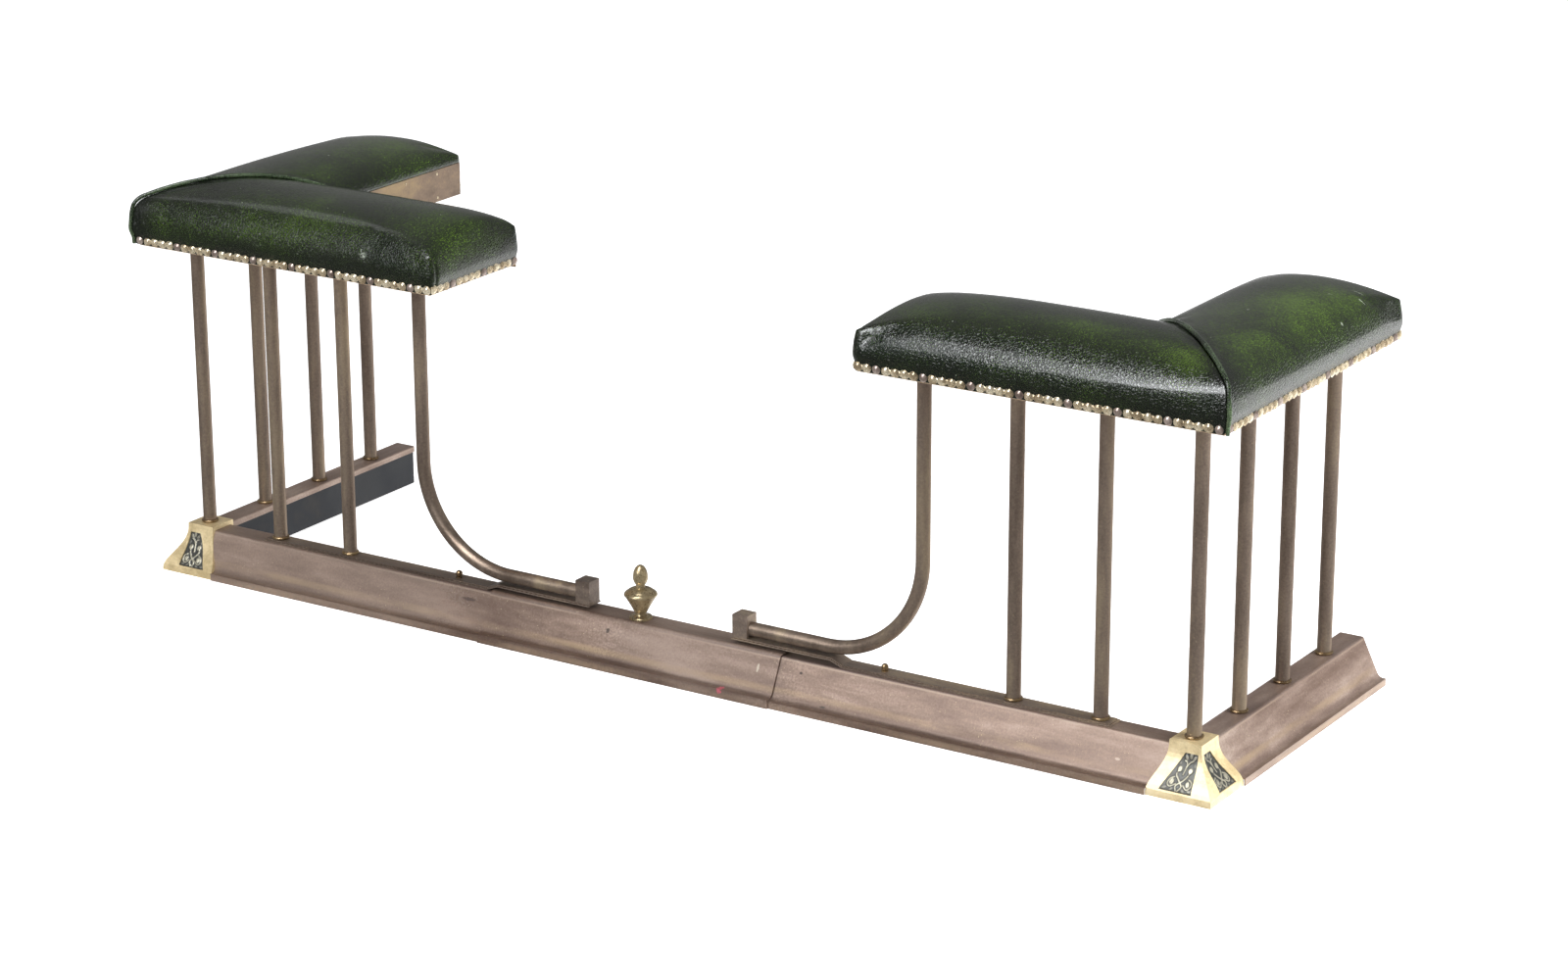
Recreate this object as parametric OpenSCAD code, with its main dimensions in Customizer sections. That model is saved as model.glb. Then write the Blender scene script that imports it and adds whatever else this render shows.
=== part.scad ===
// Extending club fender: a brass hearth kerb that carries two L-shaped padded seats on tubular posts.
// Each seat end slides along X inside the centre sleeve. X runs along the hearth, the fire is on +Y
// and the floor is z = 0. The origin is below the middle of the closed outline.

/* [Footprint] */
// Distance between the two corner posts
corner_spacing = 1330; // [1250:1:1420]
// Depth of a return, from the front post line to its back end
return_depth = 383; // [375:1:430]

/* [Kerb rail] */
// Height of the rail
rail_h = 52.2; // [50:0.1:54]
// Reach of the rail behind the post line
rail_back = 14.4; // [13:0.1:15]
// Reach of the flat top in front of the post line
rail_crest = 14.5; // [13:0.1:16]
// Reach of the toe in front of the post line
rail_toe = 43.9; // [42:0.1:46]
// Height of the toe
toe_h = 8.3; // [7:0.1:9]
// Radius of the cove above the toe
cove_r = 8; // [7:0.5:9]
// Depth of the lip that turns down behind the rail
lip_h = 7.5; // [6:0.1:12]
// Thickness of the brass sheet
sheet_t = 1.2; // [1:0.1:1.4]
// Thickness of the angle iron in the rail
iron_t = 3.2; // [2.5:0.1:3.5]
// Clear height under the angle iron
iron_clear = 3; // [2.8:0.1:5]
// Distance from the middle of the kerb to the hidden tip of each front rail
rail_tip = 51; // [46:1:60]

/* [Centre sleeve] */
// Length of the sleeve
sleeve_len = 396; // [380:1:400]
// Distance that the sleeve sits left of the middle
sleeve_shift = 33; // [30:1:34]
// Running clearance between the sleeve and the rails
sleeve_gap = 0.6; // [0.4:0.1:0.8]
// Thickness of the sleeve
sleeve_t = 1.6; // [1.2:0.1:1.8]
// Height of the finial above the sleeve
finial_h = 63.5; // [56:0.5:70]
// Width of the finial across its shoulder
finial_d = 38; // [34:0.5:42]

/* [Corner blocks] */
// Height of a corner block
block_h = 57.2; // [56.8:0.1:60]
// Reach of a block's outer faces past the post, at the top
block_out_top = 18.5; // [17:0.1:20]
// Reach of a block's outer faces past the post, at the floor
block_out_foot = 42; // [38:0.1:44]
// Reach of a block along the rails, at the top
block_in_top = 19.3; // [18:0.1:21]
// Reach of a block along the rails, at the floor
block_in_foot = 34.3; // [30:0.1:36]
// Depth of the ornament panels
panel_depth = 1.4; // [1:0.1:2]

/* [Posts] */
// Outside diameter of the tubes
tube_d = 16; // [15:0.1:17]
// Wall of the tubes
tube_wall = 1.5; // [1:0.1:2]
// Distance from the corner post to the first front post
front_post_1 = 110; // [100:0.5:120]
// Distance from the corner post to the second front post
front_post_2 = 215.5; // [205:0.5:225]
// Distance from the corner post to the swept post
swept_post_x = 329; // [320:1:340]
// Radius of the swept post's bend
sweep_r = 120; // [100:1:130]
// Height of the swept post's level run
sweep_z = 70.3; // [69.5:0.1:72]
// Pitch of the return posts
return_pitch = 104; // [98:0.5:106]
// Height of the collar at each post's foot
collar_h = 3.4; // [2.5:0.1:5]
// Diameter of the collar at each post's foot
collar_d = 20.6; // [19:0.1:22]

/* [Carrier strip] */
// Width of the strip that carries the front posts
strip_w = 24; // [20:0.5:26]
// Thickness of the strip
strip_t = 3; // [2.5:0.1:3.5]
// Height that the strip rises to clear the sleeve
strip_rise = 5.8; // [5.2:0.1:7]
// Distance from the corner post to the strip's outer end
strip_out = 93; // [88:0.5:97]
// Distance from the middle of the kerb to the strip's inner end
strip_in = 97; // [94:0.5:100]
// Distance from the middle of the kerb to the foot of the crank
crank_x = 241; // [239:0.5:243]
// Length of the crank
crank_len = 15; // [12:0.5:18]
// Distance from the middle of the kerb to the ball-headed screw
ball_x = 289; // [280:0.5:300]
// Size of the socket block at the swept post's foot, along X
socket_len = 19; // [16:0.5:24]
// Size of the socket block across the kerb
socket_w = 20; // [18:0.5:22]
// Height of the socket block
socket_h = 26; // [24:0.5:30]

/* [Seats] */
// Height of the leather's lower edge
seat_z = 406.5; // [405.5:0.1:420]
// Reach of the seats in front of the post line
overhang = 50.7; // [48:0.1:54]
// Width of a seat arm
arm_w = 167; // [155:1:180]
// Distance from the middle of the kerb to a seat's free end
arm_end_x = 278.7; // [270:0.1:290]
// Distance from a return's back end to the seat's back end
seat_setback = 16.6; // [12:0.1:24]
// Height of the crown above the leather's lower edge
crown_h = 76; // [66:0.5:90]
// Radius of the crown's arch
crown_r = 155; // [130:0.5:190]
// Radius of the padded edge
edge_r = 18; // [12:0.5:20]
// Thickness of the seat board
board_t = 18; // [15:0.5:20]
// Thickness of leather and wadding over the board's edge
wrap_t = 4; // [3:0.1:5]
// Thickness of the seat bar under the board
bar_t = 3; // [2:0.1:3.5]
// Height of the brass fascia on the hearth side
fascia_h = 40; // [36:0.5:42]
// Thickness of the fascia
fascia_t = 1.5; // [1:0.1:2]
// Diameter of the piping in the mitre
piping_d = 5; // [4:0.1:6]
// Diameter of a nail head
nail_d = 10.6; // [9:0.1:11]
// Height of a nail head
nail_h = 2.5; // [2:0.1:3]
// Pitch of the nail heads
nail_pitch = 11.2; // [11:0.1:14]

/* [Hidden] */
$fn = 48;
post_x = corner_spacing / 2;
post_line_y = -(return_depth - overhang - nail_h) / 2;
block_power = 1.4;
rail_slope = 0.485;
slope_run = sqrt(1 + rail_slope * rail_slope);
crest_r = 3;
back_r = 1.2;
iron_top = rail_h - sheet_t;
iron_back = rail_back - sheet_t;
iron_front = rail_crest - 2;
tongue_w = 18;
sleeve_grow = sleeve_gap + sleeve_t;
sleeve_top = rail_h + sleeve_grow;
hook_t = 1.6;
rod_d = 6;
rod_hole = 6.6;
washer_t = 1.2;
nut_h = 5;
nut_d = 11.5;
screw_d = 4;
post_top = seat_z - 1.5 - bar_t;
board_z = seat_z - 1.5;
board_top = board_z + board_t;
sink_z = board_top - 10;
rod_top = board_top - 2;
tongue_t = 3.2;
fascia_z = board_z - bar_t;
fascia_top = fascia_z + fascia_h;
arm_out = post_x + overhang;
arm_in = arm_w - overhang;
arm_back = return_depth - seat_setback;
crown_z = seat_z + crown_h;
bar_w = 30;
batten_w = 16;
mitre_gap = 0.4;
pad_gap = 0.2;
piping_t = 3;
sweep_x = post_x - swept_post_x;
bend_z = sweep_z + sweep_r;
strip_low = rail_h;
strip_high = rail_h + strip_rise;
far = 2000;
pin_d = 4;

brass_dark = "#6E5A44";
brass_old = "#7F6653";
brass_gold = "#B59A4E";
iron_black = "#1E1F20";
steel_grey = "#8A8C8E";
leather_green = "#16310F";
timber = "#A98358";

// ---- Placing ----

// An end is drawn as the right one, with y = 0 on the front post line.
module right() {
    translate([0, post_line_y, 0]) children();
}

module left() {
    mirror([1, 0, 0]) right() children();
}

// Stands a section drawn as [reach in front of the post line, height] along X.
module along_x(x0, x1) {
    translate([x1, 0, 0]) rotate([90, 0, -90]) linear_extrude(x1 - x0) children();
}

// Stands the same section along the return, with its front facing +X.
module along_y(y0, y1) {
    translate([post_x, y1, 0]) rotate([90, 0, 0]) linear_extrude(y1 - y0) children();
}

// The corner, front and return posts of one end, as [x, y, height of the surface they stand on].
front_post_places = [for (d = [front_post_1, front_post_2]) [post_x - d, 0, strip_low + strip_t]];
return_post_places = [for (i = [1:3]) [post_x, i * return_pitch, rail_h]];
corner_place = [post_x, 0, block_h];
post_places = concat([corner_place], front_post_places, return_post_places);
rod_places = concat(post_places, [[sweep_x, 0, post_top - 45]]);

function arc(c, r, a0, a1, n) =
    [for (i = [0:n]) let (a = a0 + (a1 - a0) * i / n) c + r * [cos(a), sin(a)]];

function bend(p0, p1, p2, n) =
    [for (i = [0:n]) let (t = i / n) (1 - t) * (1 - t) * p0 + 2 * t * (1 - t) * p1 + t * t * p2];

// ---- Kerb rail ----

// The rail's section, grown by g all round: flat top, sloping face, cove and toe.
function rail_points(g) = let (
    slope_foot = rail_crest + rail_slope * (rail_h - toe_h),
    turn = atan(rail_slope),
    crest = [rail_crest - (slope_run - rail_slope) * crest_r, rail_h - crest_r],
    back = [back_r - rail_back, rail_h - back_r],
    cove = [slope_foot + (slope_run - rail_slope) * cove_r, toe_h + cove_r]
) concat(
    [[-rail_back - g, -1]],
    arc(back, back_r + g, 180, 90, 4),
    arc(crest, crest_r + g, 90, turn, 6),
    arc(cove, cove_r - g, 180 + turn, 270, 8),
    [[rail_toe + g, toe_h + g], [rail_toe + g, -1]]
);

// Sheet shell between two sizes of the section, open below and behind the lip.
module rail_shell(outer, t, lip) {
    difference() {
        polygon(rail_points(outer));
        polygon(rail_points(outer - t));
        translate([-far / 2, -2]) square([far, 2]);
        translate([-rail_back - outer - 1, -1]) square([outer + t + 2, rail_h + outer - lip + 1]);
    }
}

module rod_holes(places, d = rod_hole) {
    for (p = places) translate([p[0], p[1], -1]) cylinder(d = d, h = crown_z);
}

// Space of a corner block past its side face, which the mouldings are trimmed to.
module block_side(gap) {
    trim = [for (p = block_points(block_in_top + gap, block_in_foot + gap, 5)) [-p[0], p[1]]];
    polygon(concat(trim, [[far, block_h + 1], [far, -1]]));
}

module front_moulding() {
    color(brass_old) difference() {
        along_x(rail_tip, post_x) rail_shell(0, sheet_t, lip_h);
        translate([post_x, far / 2, 0]) rotate([90, 0, 0]) linear_extrude(far) block_side(0.15);
        rod_holes(front_post_places);
        translate([ball_x, 0, 0]) cylinder(d = screw_d + 0.4, h = crown_z);
    }
}

module return_moulding() {
    color(brass_old) difference() {
        along_y(0, return_depth) rail_shell(0, sheet_t, lip_h);
        translate([post_x - far / 2, 0, 0]) rotate([90, 0, 90]) linear_extrude(far)
            mirror([1, 0]) block_side(0.15);
        rod_holes(return_post_places);
    }
}

module iron_section() {
    translate([-iron_back, iron_clear]) square([iron_t, iron_top - iron_clear]);
    translate([-iron_back, iron_top - iron_t]) square([iron_back + iron_front, iron_t]);
}

module front_iron() {
    color(iron_black) difference() {
        along_x(rail_tip, post_x + iron_back) iron_section();
        rod_holes(concat([corner_place], front_post_places));
        translate([ball_x, 0, 0]) cylinder(d = screw_d + 0.4, h = crown_z);
        translate([post_x - tongue_w / 2 - 0.5, iron_back - iron_t - 1, 0])
            cube([far, iron_t + 2, iron_top - iron_t]);
    }
}

// The return iron carries a tongue that runs under the front iron and takes the corner post's rod.
module return_iron() {
    color(iron_black) difference() {
        union() {
            along_y(iron_back + 0.2, return_depth - 1) iron_section();
            translate([post_x - tongue_w / 2, -tongue_w / 2, iron_top - iron_t - tongue_t])
                cube([tongue_w, tongue_w + 24, tongue_t]);
        }
        rod_holes(concat([corner_place], return_post_places));
    }
}

// ---- Corner block ----

// Share of a block's flare at a share h of the way from its top to its foot.
function flare(h) = let (q = pow(h, block_power)) q * q * (3 - 2 * q);

function block_points(top, foot, low) =
    concat([[foot, -1], [foot, low]], [for (i = [0:12])
        [top + (foot - top) * flare(1 - i / 12), low + (block_h - low) * i / 12]], [[top, block_h + 1]]);

// Outline of a block seen from the front, drawn back by d on its outer side and s on its inner side.
module block_outline(d, s) {
    outer = block_points(block_out_top - d, block_out_foot - d, 3);
    inner = [for (p = block_points(block_in_top - s, block_in_foot - s, 5)) [-p[0], p[1]]];
    intersection() {
        polygon(concat(outer, [for (i = [len(inner) - 1:-1:0]) inner[i]]));
        translate([-far / 2, 0]) square([far, block_h]);
    }
}

module block_body(d, s = 0) {
    intersection() {
        translate([0, far / 2, 0]) rotate([90, 0, 0]) linear_extrude(far) block_outline(d, s);
        translate([-far / 2, 0, 0]) rotate([90, 0, 90]) linear_extrude(far)
            mirror([1, 0]) block_outline(d, s);
    }
}

// Ornament panel as seen on a face, from the side away from the corner to the corner side.
module panel_outline() {
    polygon([[-20, 9], [18, 9], [15, 46.5], [0, 46.5]]);
}

module corner_block() {
    wall = 3;
    roof = iron_top + 0.2;
    color(brass_gold) translate([post_x, 0, 0]) difference() {
        union() {
            block_body(panel_depth);
            difference() {
                block_body(0);
                rotate([90, 0, 0]) linear_extrude(far) panel_outline();
                rotate([90, 0, 90]) linear_extrude(far) mirror([1, 0]) panel_outline();
            }
        }
        intersection() {
            translate([-far / 2, -far / 2, -1]) cube([far, far, roof + 1]);
            translate([0, 0, -1]) block_body(wall, wall);
        }
        translate([-far, -iron_front - 0.6, -1]) cube([far, iron_front + iron_back + 1, roof + 1]);
        translate([-iron_back - 0.4, 0, -1]) cube([iron_front + iron_back + 1, far, roof + 1]);
        translate([0, 0, -1]) cylinder(d = rod_hole, h = block_h + 2);
    }
}

// ---- Posts ----

module tube(places) {
    for (p = places) translate([p[0], p[1], p[2]]) difference() {
        cylinder(d = tube_d, h = post_top - p[2]);
        translate([0, 0, -1]) cylinder(d = tube_d - 2 * tube_wall, h = post_top);
    }
}

module corner_post() {
    color(brass_dark) tube([corner_place]);
}

module front_posts() {
    color(brass_dark) tube(front_post_places);
}

module return_posts() {
    color(brass_dark) tube(return_post_places);
}

module post_collars() {
    r = collar_h / 2;
    color(brass_gold) for (p = post_places) translate(p) rotate_extrude() {
        translate([tube_d / 2 + 0.1, 0]) square([collar_d / 2 - r - tube_d / 2 - 0.1, collar_h]);
        intersection() {
            translate([collar_d / 2 - r, r]) circle(r);
            translate([collar_d / 2 - r, 0]) square([r, collar_h]);
        }
    }
}

module ring() {
    difference() {
        circle(d = tube_d);
        circle(d = tube_d - 2 * tube_wall);
    }
}

// A plug in the top of the swept post takes its short stud.
module swept_post() {
    level_end = strip_in + socket_len - 11;
    plug_h = 30;
    color(brass_dark) {
        translate([sweep_x, 0, bend_z]) linear_extrude(post_top - bend_z) ring();
        translate([sweep_x - sweep_r, 0, bend_z]) rotate([90, 0, 0])
            rotate_extrude(angle = -90) translate([sweep_r, 0]) ring();
        translate([level_end, 0, sweep_z]) rotate([90, 0, 90])
            linear_extrude(sweep_x - sweep_r - level_end) ring();
        translate([sweep_x, 0, post_top - plug_h]) difference() {
            cylinder(d = tube_d - 2 * tube_wall, h = plug_h);
            translate([0, 0, -1]) cylinder(d = rod_d + 0.2, h = plug_h + 2);
        }
    }
}

// ---- Carrier strip ----

// One layer of the strip, from height z0 to z1 above its underside, w wide and s shorter outside.
module strip_layer(z0, z1, w, s) {
    x1 = post_x - strip_out - s;
    x2 = crank_x - crank_len;
    translate([0, w / 2, 0]) rotate([90, 0, 0]) linear_extrude(w) polygon([
        [x1, strip_low + z0], [crank_x, strip_low + z0], [x2, strip_high + z0], [strip_in, strip_high + z0],
        [strip_in, strip_high + z1], [x2, strip_high + z1], [crank_x, strip_low + z1], [x1, strip_low + z1]
    ]);
}

// The strip's upper half is narrower, which leaves a small step along its edges.
module carrier_strip() {
    color(brass_dark) difference() {
        union() {
            strip_layer(0, strip_t / 2, strip_w, 0);
            strip_layer(strip_t / 2, strip_t, strip_w - 4, 2.5);
        }
        rod_holes(front_post_places);
        translate([ball_x, 0, 0]) cylinder(d = screw_d + 0.2, h = crown_z);
        translate([strip_in + socket_len / 2, 0, 0]) cylinder(d = screw_d + 0.2, h = crown_z);
    }
}

module end_socket() {
    top = strip_high + strip_t + socket_h;
    color(brass_dark) difference() {
        translate([strip_in, -socket_w / 2, strip_high + strip_t]) cube([socket_len, socket_w, socket_h]);
        translate([strip_in + socket_len - 11.2, 0, sweep_z]) rotate([0, 90, 0])
            cylinder(d = tube_d + 0.2, h = 20);
        translate([strip_in + socket_len / 2 - 5, 0, strip_high])
            cylinder(d = screw_d + 0.2, h = top - strip_high - 8);
    }
}

// A ball-headed screw holds the strip to the rail.
module strip_screws() {
    ball_d = 8;
    shank = strip_t + sheet_t + iron_t;
    color(brass_gold) translate([ball_x, 0, strip_low + strip_t]) {
        translate([0, 0, -shank]) cylinder(d = screw_d, h = shank + 3);
        cylinder(d = ball_d, h = 1.2);
        translate([0, 0, ball_d / 2 + 0.6]) sphere(d = ball_d);
    }
}

// ---- Tie rods ----

function rod_foot(p) = p == corner_place ? iron_top - iron_t - tongue_t - 9
    : p[2] > rail_h + strip_t + 9 ? p[2] : iron_top - iron_t - 9;

function nut_seat(p) = p == corner_place ? iron_top - iron_t - tongue_t : iron_top - iron_t;

module tie_rods() {
    color(steel_grey) for (p = rod_places) translate([p[0], p[1], rod_foot(p)])
        cylinder(d = rod_d, h = rod_top - rod_foot(p));
}

module hex_nut() {
    difference() {
        cylinder(d = nut_d, h = nut_h, $fn = 6);
        translate([0, 0, -1]) cylinder(d = rod_d + 0.1, h = nut_h + 2);
    }
}

module tie_nuts() {
    color(steel_grey) {
        for (p = post_places) translate([p[0], p[1], nut_seat(p) - washer_t - nut_h]) hex_nut();
        for (p = rod_places) translate([p[0], p[1], sink_z + washer_t]) hex_nut();
    }
}

module washer() {
    difference() {
        cylinder(d = 14, h = washer_t);
        translate([0, 0, -1]) cylinder(d = rod_hole, h = washer_t + 2);
    }
}

module tie_washers() {
    color(steel_grey) {
        for (p = post_places) translate([p[0], p[1], nut_seat(p) - washer_t]) washer();
        for (p = rod_places) translate([p[0], p[1], sink_z]) washer();
    }
}

// ---- Seats ----

// Plan of the front arm up to the mitre, drawn in by d, and by h on the hearth side.
module front_plan(d, h) {
    polygon([
        [arm_end_x + d, -overhang + d], [arm_out - d, -overhang + d],
        [post_x - arm_in + h, arm_in - h], [arm_end_x + d, arm_in - h]
    ]);
}

module return_plan(d, h) {
    polygon([
        [arm_out - d, -overhang + d], [arm_out - d, arm_back - d],
        [post_x - arm_in + h, arm_back - d], [post_x - arm_in + h, arm_in - h]
    ]);
}

// The front plan is trimmed back from the mitre by half of gap, and the return plan likewise.
module trimmed_front(d, h, gap) {
    difference() {
        front_plan(d, h);
        translate([post_x - gap / 2 * sqrt(2), 0]) rotate(45) translate([0, -far / 2]) square([far, far]);
    }
}

module trimmed_return(d, h, gap) {
    difference() {
        return_plan(d, h);
        translate([post_x + gap / 2 * sqrt(2), 0]) rotate(45) translate([-far, -far / 2]) square([far, far]);
    }
}

module front_seat_bar() {
    color(iron_black) difference() {
        translate([arm_end_x + 20, -bar_w / 2, post_top])
            cube([post_x + bar_w / 2 - arm_end_x - 20, bar_w, bar_t]);
        rod_holes(rod_places);
    }
}

module return_seat_bar() {
    color(iron_black) difference() {
        translate([post_x - bar_w / 2, bar_w / 2 + 0.2, post_top])
            cube([bar_w, arm_back - 20 - bar_w / 2, bar_t]);
        rod_holes(rod_places);
    }
}

module board_holes() {
    rod_holes(rod_places);
    for (p = rod_places) translate([p[0], p[1], sink_z]) cylinder(d = 20, h = board_t);
}

// A batten along the hearth side backs the upper half of the fascia.
module front_board() {
    color(timber) difference() {
        union() {
            translate([0, 0, board_z]) linear_extrude(board_t) trimmed_front(wrap_t, fascia_t, mitre_gap);
            translate([0, 0, board_top]) linear_extrude(fascia_top - board_top) intersection() {
                trimmed_front(wrap_t, fascia_t, mitre_gap);
                translate([0, arm_in - batten_w]) square([far, batten_w]);
            }
        }
        board_holes();
    }
}

module return_board() {
    color(timber) difference() {
        union() {
            translate([0, 0, board_z]) linear_extrude(board_t) trimmed_return(wrap_t, fascia_t, mitre_gap);
            translate([0, 0, board_top]) linear_extrude(fascia_top - board_top) intersection() {
                trimmed_return(wrap_t, fascia_t, mitre_gap);
                translate([post_x - arm_in, 0]) square([batten_w, far]);
            }
        }
        board_holes();
    }
}

// The padded outline across an arm w wide, from its outer edge to its hearth edge.
function crown_points(w, grow) = let (
    mid = [w / 2, crown_z - crown_r],
    r = edge_r + grow,
    rise = sqrt(pow(crown_r - edge_r, 2) - pow(w / 2 - edge_r, 2)),
    turn = atan2(rise, w / 2 - edge_r)
) concat(
    [[-grow, seat_z]],
    arc([edge_r, mid[1] + rise], r, 180, 180 - turn, 6),
    arc(mid, crown_r + grow, 180 - turn, turn, 20),
    arc([w - edge_r, mid[1] + rise], r, turn, 0, 6),
    [[w + grow, seat_z]]
);

// Rounds the ends of an arm of length l, which are as round as its sides.
module end_points(l) {
    half = crown_points(arm_w, 0);
    near = [for (p = half) if (p[0] < arm_w / 2) p];
    far_side = [for (i = [len(near) - 1:-1:0]) [l - near[i][0], near[i][1]]];
    polygon(concat(near, far_side));
}

module board_space() {
    translate([0, 0, seat_z - 10]) linear_extrude(board_top - seat_z + 10 + pad_gap) children();
}

module front_pad() {
    len_x = arm_out - arm_end_x + arm_w;
    color(leather_green) difference() {
        intersection() {
            along_x(arm_end_x, arm_out) translate([overhang, 0]) mirror([1, 0])
                polygon(crown_points(arm_w, 0));
            translate([arm_end_x, far / 2, 0]) rotate([90, 0, 0]) linear_extrude(far) end_points(len_x);
            linear_extrude(far) trimmed_front(0, 0, piping_t + 2 * pad_gap);
        }
        board_space() front_plan(wrap_t - pad_gap, -1);
        translate([arm_end_x + wrap_t - pad_gap, arm_in - batten_w - pad_gap, 0])
            cube([far, far, fascia_top + pad_gap]);
    }
}

module return_pad() {
    len_y = arm_back + overhang + arm_w;
    color(leather_green) difference() {
        intersection() {
            along_y(-overhang, arm_back) translate([overhang, 0]) mirror([1, 0])
                polygon(crown_points(arm_w, 0));
            translate([0, arm_back, 0]) rotate([90, 0, 90]) linear_extrude(far)
                mirror([1, 0]) end_points(len_y);
            linear_extrude(far) trimmed_return(0, 0, piping_t + 2 * pad_gap);
        }
        board_space() return_plan(wrap_t - pad_gap, -1);
        translate([post_x - arm_in - far + batten_w + pad_gap, arm_back - wrap_t + pad_gap - far, 0])
            cube([far, far, fascia_top + pad_gap]);
    }
}

// Piping in the mitre, from the foot of the outer corner over the crown to the hearth corner.
module seat_piping() {
    outer = crown_points(arm_w, piping_d / 2);
    inner = crown_points(arm_w, -piping_d / 2);
    band = concat(outer, [for (i = [len(inner) - 1:-1:0]) inner[i]]);
    color(leather_green) difference() {
        translate([arm_out, -overhang, 0]) rotate([90, 0, 135])
            linear_extrude(piping_t, center = true) polygon([for (p = band) [p[0] * sqrt(2), p[1]]]);
        translate([post_x - arm_in - far + batten_w + pad_gap, arm_in - batten_w - pad_gap, 0])
            cube([far, far, fascia_top + pad_gap]);
    }
}

module front_fascia() {
    x1 = post_x - arm_in;
    color(brass_old) translate([arm_end_x + wrap_t, arm_in - fascia_t, fascia_z])
        cube([x1 - arm_end_x - wrap_t, fascia_t, fascia_h]);
}

module return_fascia() {
    color(brass_old) translate([post_x - arm_in, arm_in - fascia_t, fascia_z])
        cube([fascia_t, arm_back - wrap_t - arm_in + fascia_t, fascia_h]);
}

// Domed head of height h on a round base of diameter d, standing on z = 0.
module dome(d, h) {
    r = (d * d / 4 + h * h) / (2 * h);
    intersection() {
        translate([0, 0, h - r]) sphere(r);
        cylinder(d = d + 1, h = h + 1);
    }
}

module fascia_pins() {
    inset = 5;
    pitch = 62;
    color(brass_gold) for (z = [fascia_z + inset, fascia_top - inset]) {
        for (x = [arm_end_x + 10:pitch:post_x - arm_in - 8])
            translate([x, arm_in, z]) rotate([-90, 0, 0]) dome(pin_d, 0.9);
        for (y = [arm_in + 14:pitch:arm_back - 8])
            translate([post_x - arm_in, y, z]) rotate([0, -90, 0]) dome(pin_d, 0.9);
    }
}

// Heads along a run of length l, standing out along Z.
module nail_row(l) {
    n = floor(l / nail_pitch);
    for (i = [0:n - 1]) translate([(i + 0.5) * l / n, 0, 0]) dome(nail_d, nail_h);
}

// The rows keep clear of the piping at the outer corner.
module nail_heads() {
    z = seat_z + nail_pitch / 2;
    room = 2.3;
    color(brass_gold) {
        translate([arm_end_x, -overhang, z]) rotate([90, 0, 0]) nail_row(arm_out - arm_end_x - room);
        translate([arm_out, room - overhang, z]) rotate([90, 0, 90]) nail_row(arm_back + overhang - room);
        translate([arm_end_x, arm_in - 3, z]) rotate([90, 0, -90]) nail_row(arm_w - 3);
        translate([arm_out, arm_back, z]) rotate([90, 0, 180]) nail_row(arm_w - 3);
    }
}

// ---- Centre sleeve ----

module sleeve_span() {
    translate([-sleeve_shift, post_line_y, 0]) children();
}

module centre_sleeve() {
    color(brass_old) sleeve_span() difference() {
        along_x(-sleeve_len / 2, sleeve_len / 2) rail_shell(sleeve_grow, sleeve_t, 10);
        cylinder(d = rod_hole, h = crown_z);
        rivet_places() translate([0, 0, -5]) cylinder(d = 3.2, h = 10);
    }
}

module rivet_places() {
    for (i = [-2:2])
        translate([i * sleeve_len / 4.6, rail_back + sleeve_grow, sleeve_top - 6])
            rotate([-90, 0, 0]) children();
}

// The black back plate closes the sleeve, and its foot hooks under the angle irons.
module sleeve_back_plate() {
    color(iron_black) sleeve_span() difference() {
        union() {
            translate([-sleeve_len / 2 + 2, rail_back + sleeve_grow, 0])
                cube([sleeve_len - 4, hook_t, sleeve_top - 2]);
            translate([-sleeve_len / 2 + 2, rail_back - 6, 0])
                cube([sleeve_len - 4, sleeve_grow + 6, hook_t]);
        }
        rivet_places() translate([0, 0, -5]) cylinder(d = 3.2, h = 10);
    }
}

module sleeve_rivets() {
    color(iron_black) sleeve_span() rivet_places() {
        translate([0, 0, hook_t]) dome(6, 1.2);
        translate([0, 0, -sleeve_t]) cylinder(d = 3, h = sleeve_t + hook_t);
    }
}

// Turned finial: foot, inverted cone, shoulder, neck and acorn, with a stud below the sleeve.
module finial() {
    foot_r = 13.3;
    neck_r = 5.2;
    egg_r = 8.6;
    shoulder_r = finial_d / 2;
    egg_z = finial_h - 14.5;
    profile = concat(
        [[0, 0], [foot_r, 0], [foot_r, 1.6]],
        bend([foot_r - 1, 2.6], [6.8, 3], [6.2, 6.4], 5),
        bend([7.6, 8.4], [11.8, 17], [shoulder_r - 1.2, 26.6], 4),
        bend([shoulder_r, 27.8], [shoulder_r + 0.2, 29.6], [shoulder_r - 1.4, 31], 3),
        bend([shoulder_r - 3.2, 32.2], [12, 36], [neck_r + 0.8, 36.6], 5),
        [[neck_r, 37.2], [neck_r, 38.6]],
        [for (i = [1:12]) let (a = -65 + 155 * i / 12)
            [egg_r * cos(a), egg_z + (a < 0 ? 11 : 14.5) * sin(a)]]
    );
    color(brass_gold) sleeve_span() translate([0, 0, sleeve_top]) {
        rotate_extrude() polygon(profile);
        translate([0, 0, -9.5]) cylinder(d = rod_d, h = 10);
    }
}

module finial_nut() {
    color(steel_grey) sleeve_span() translate([0, 0, sleeve_top - sleeve_t - nut_h]) hex_nut();
}

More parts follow.
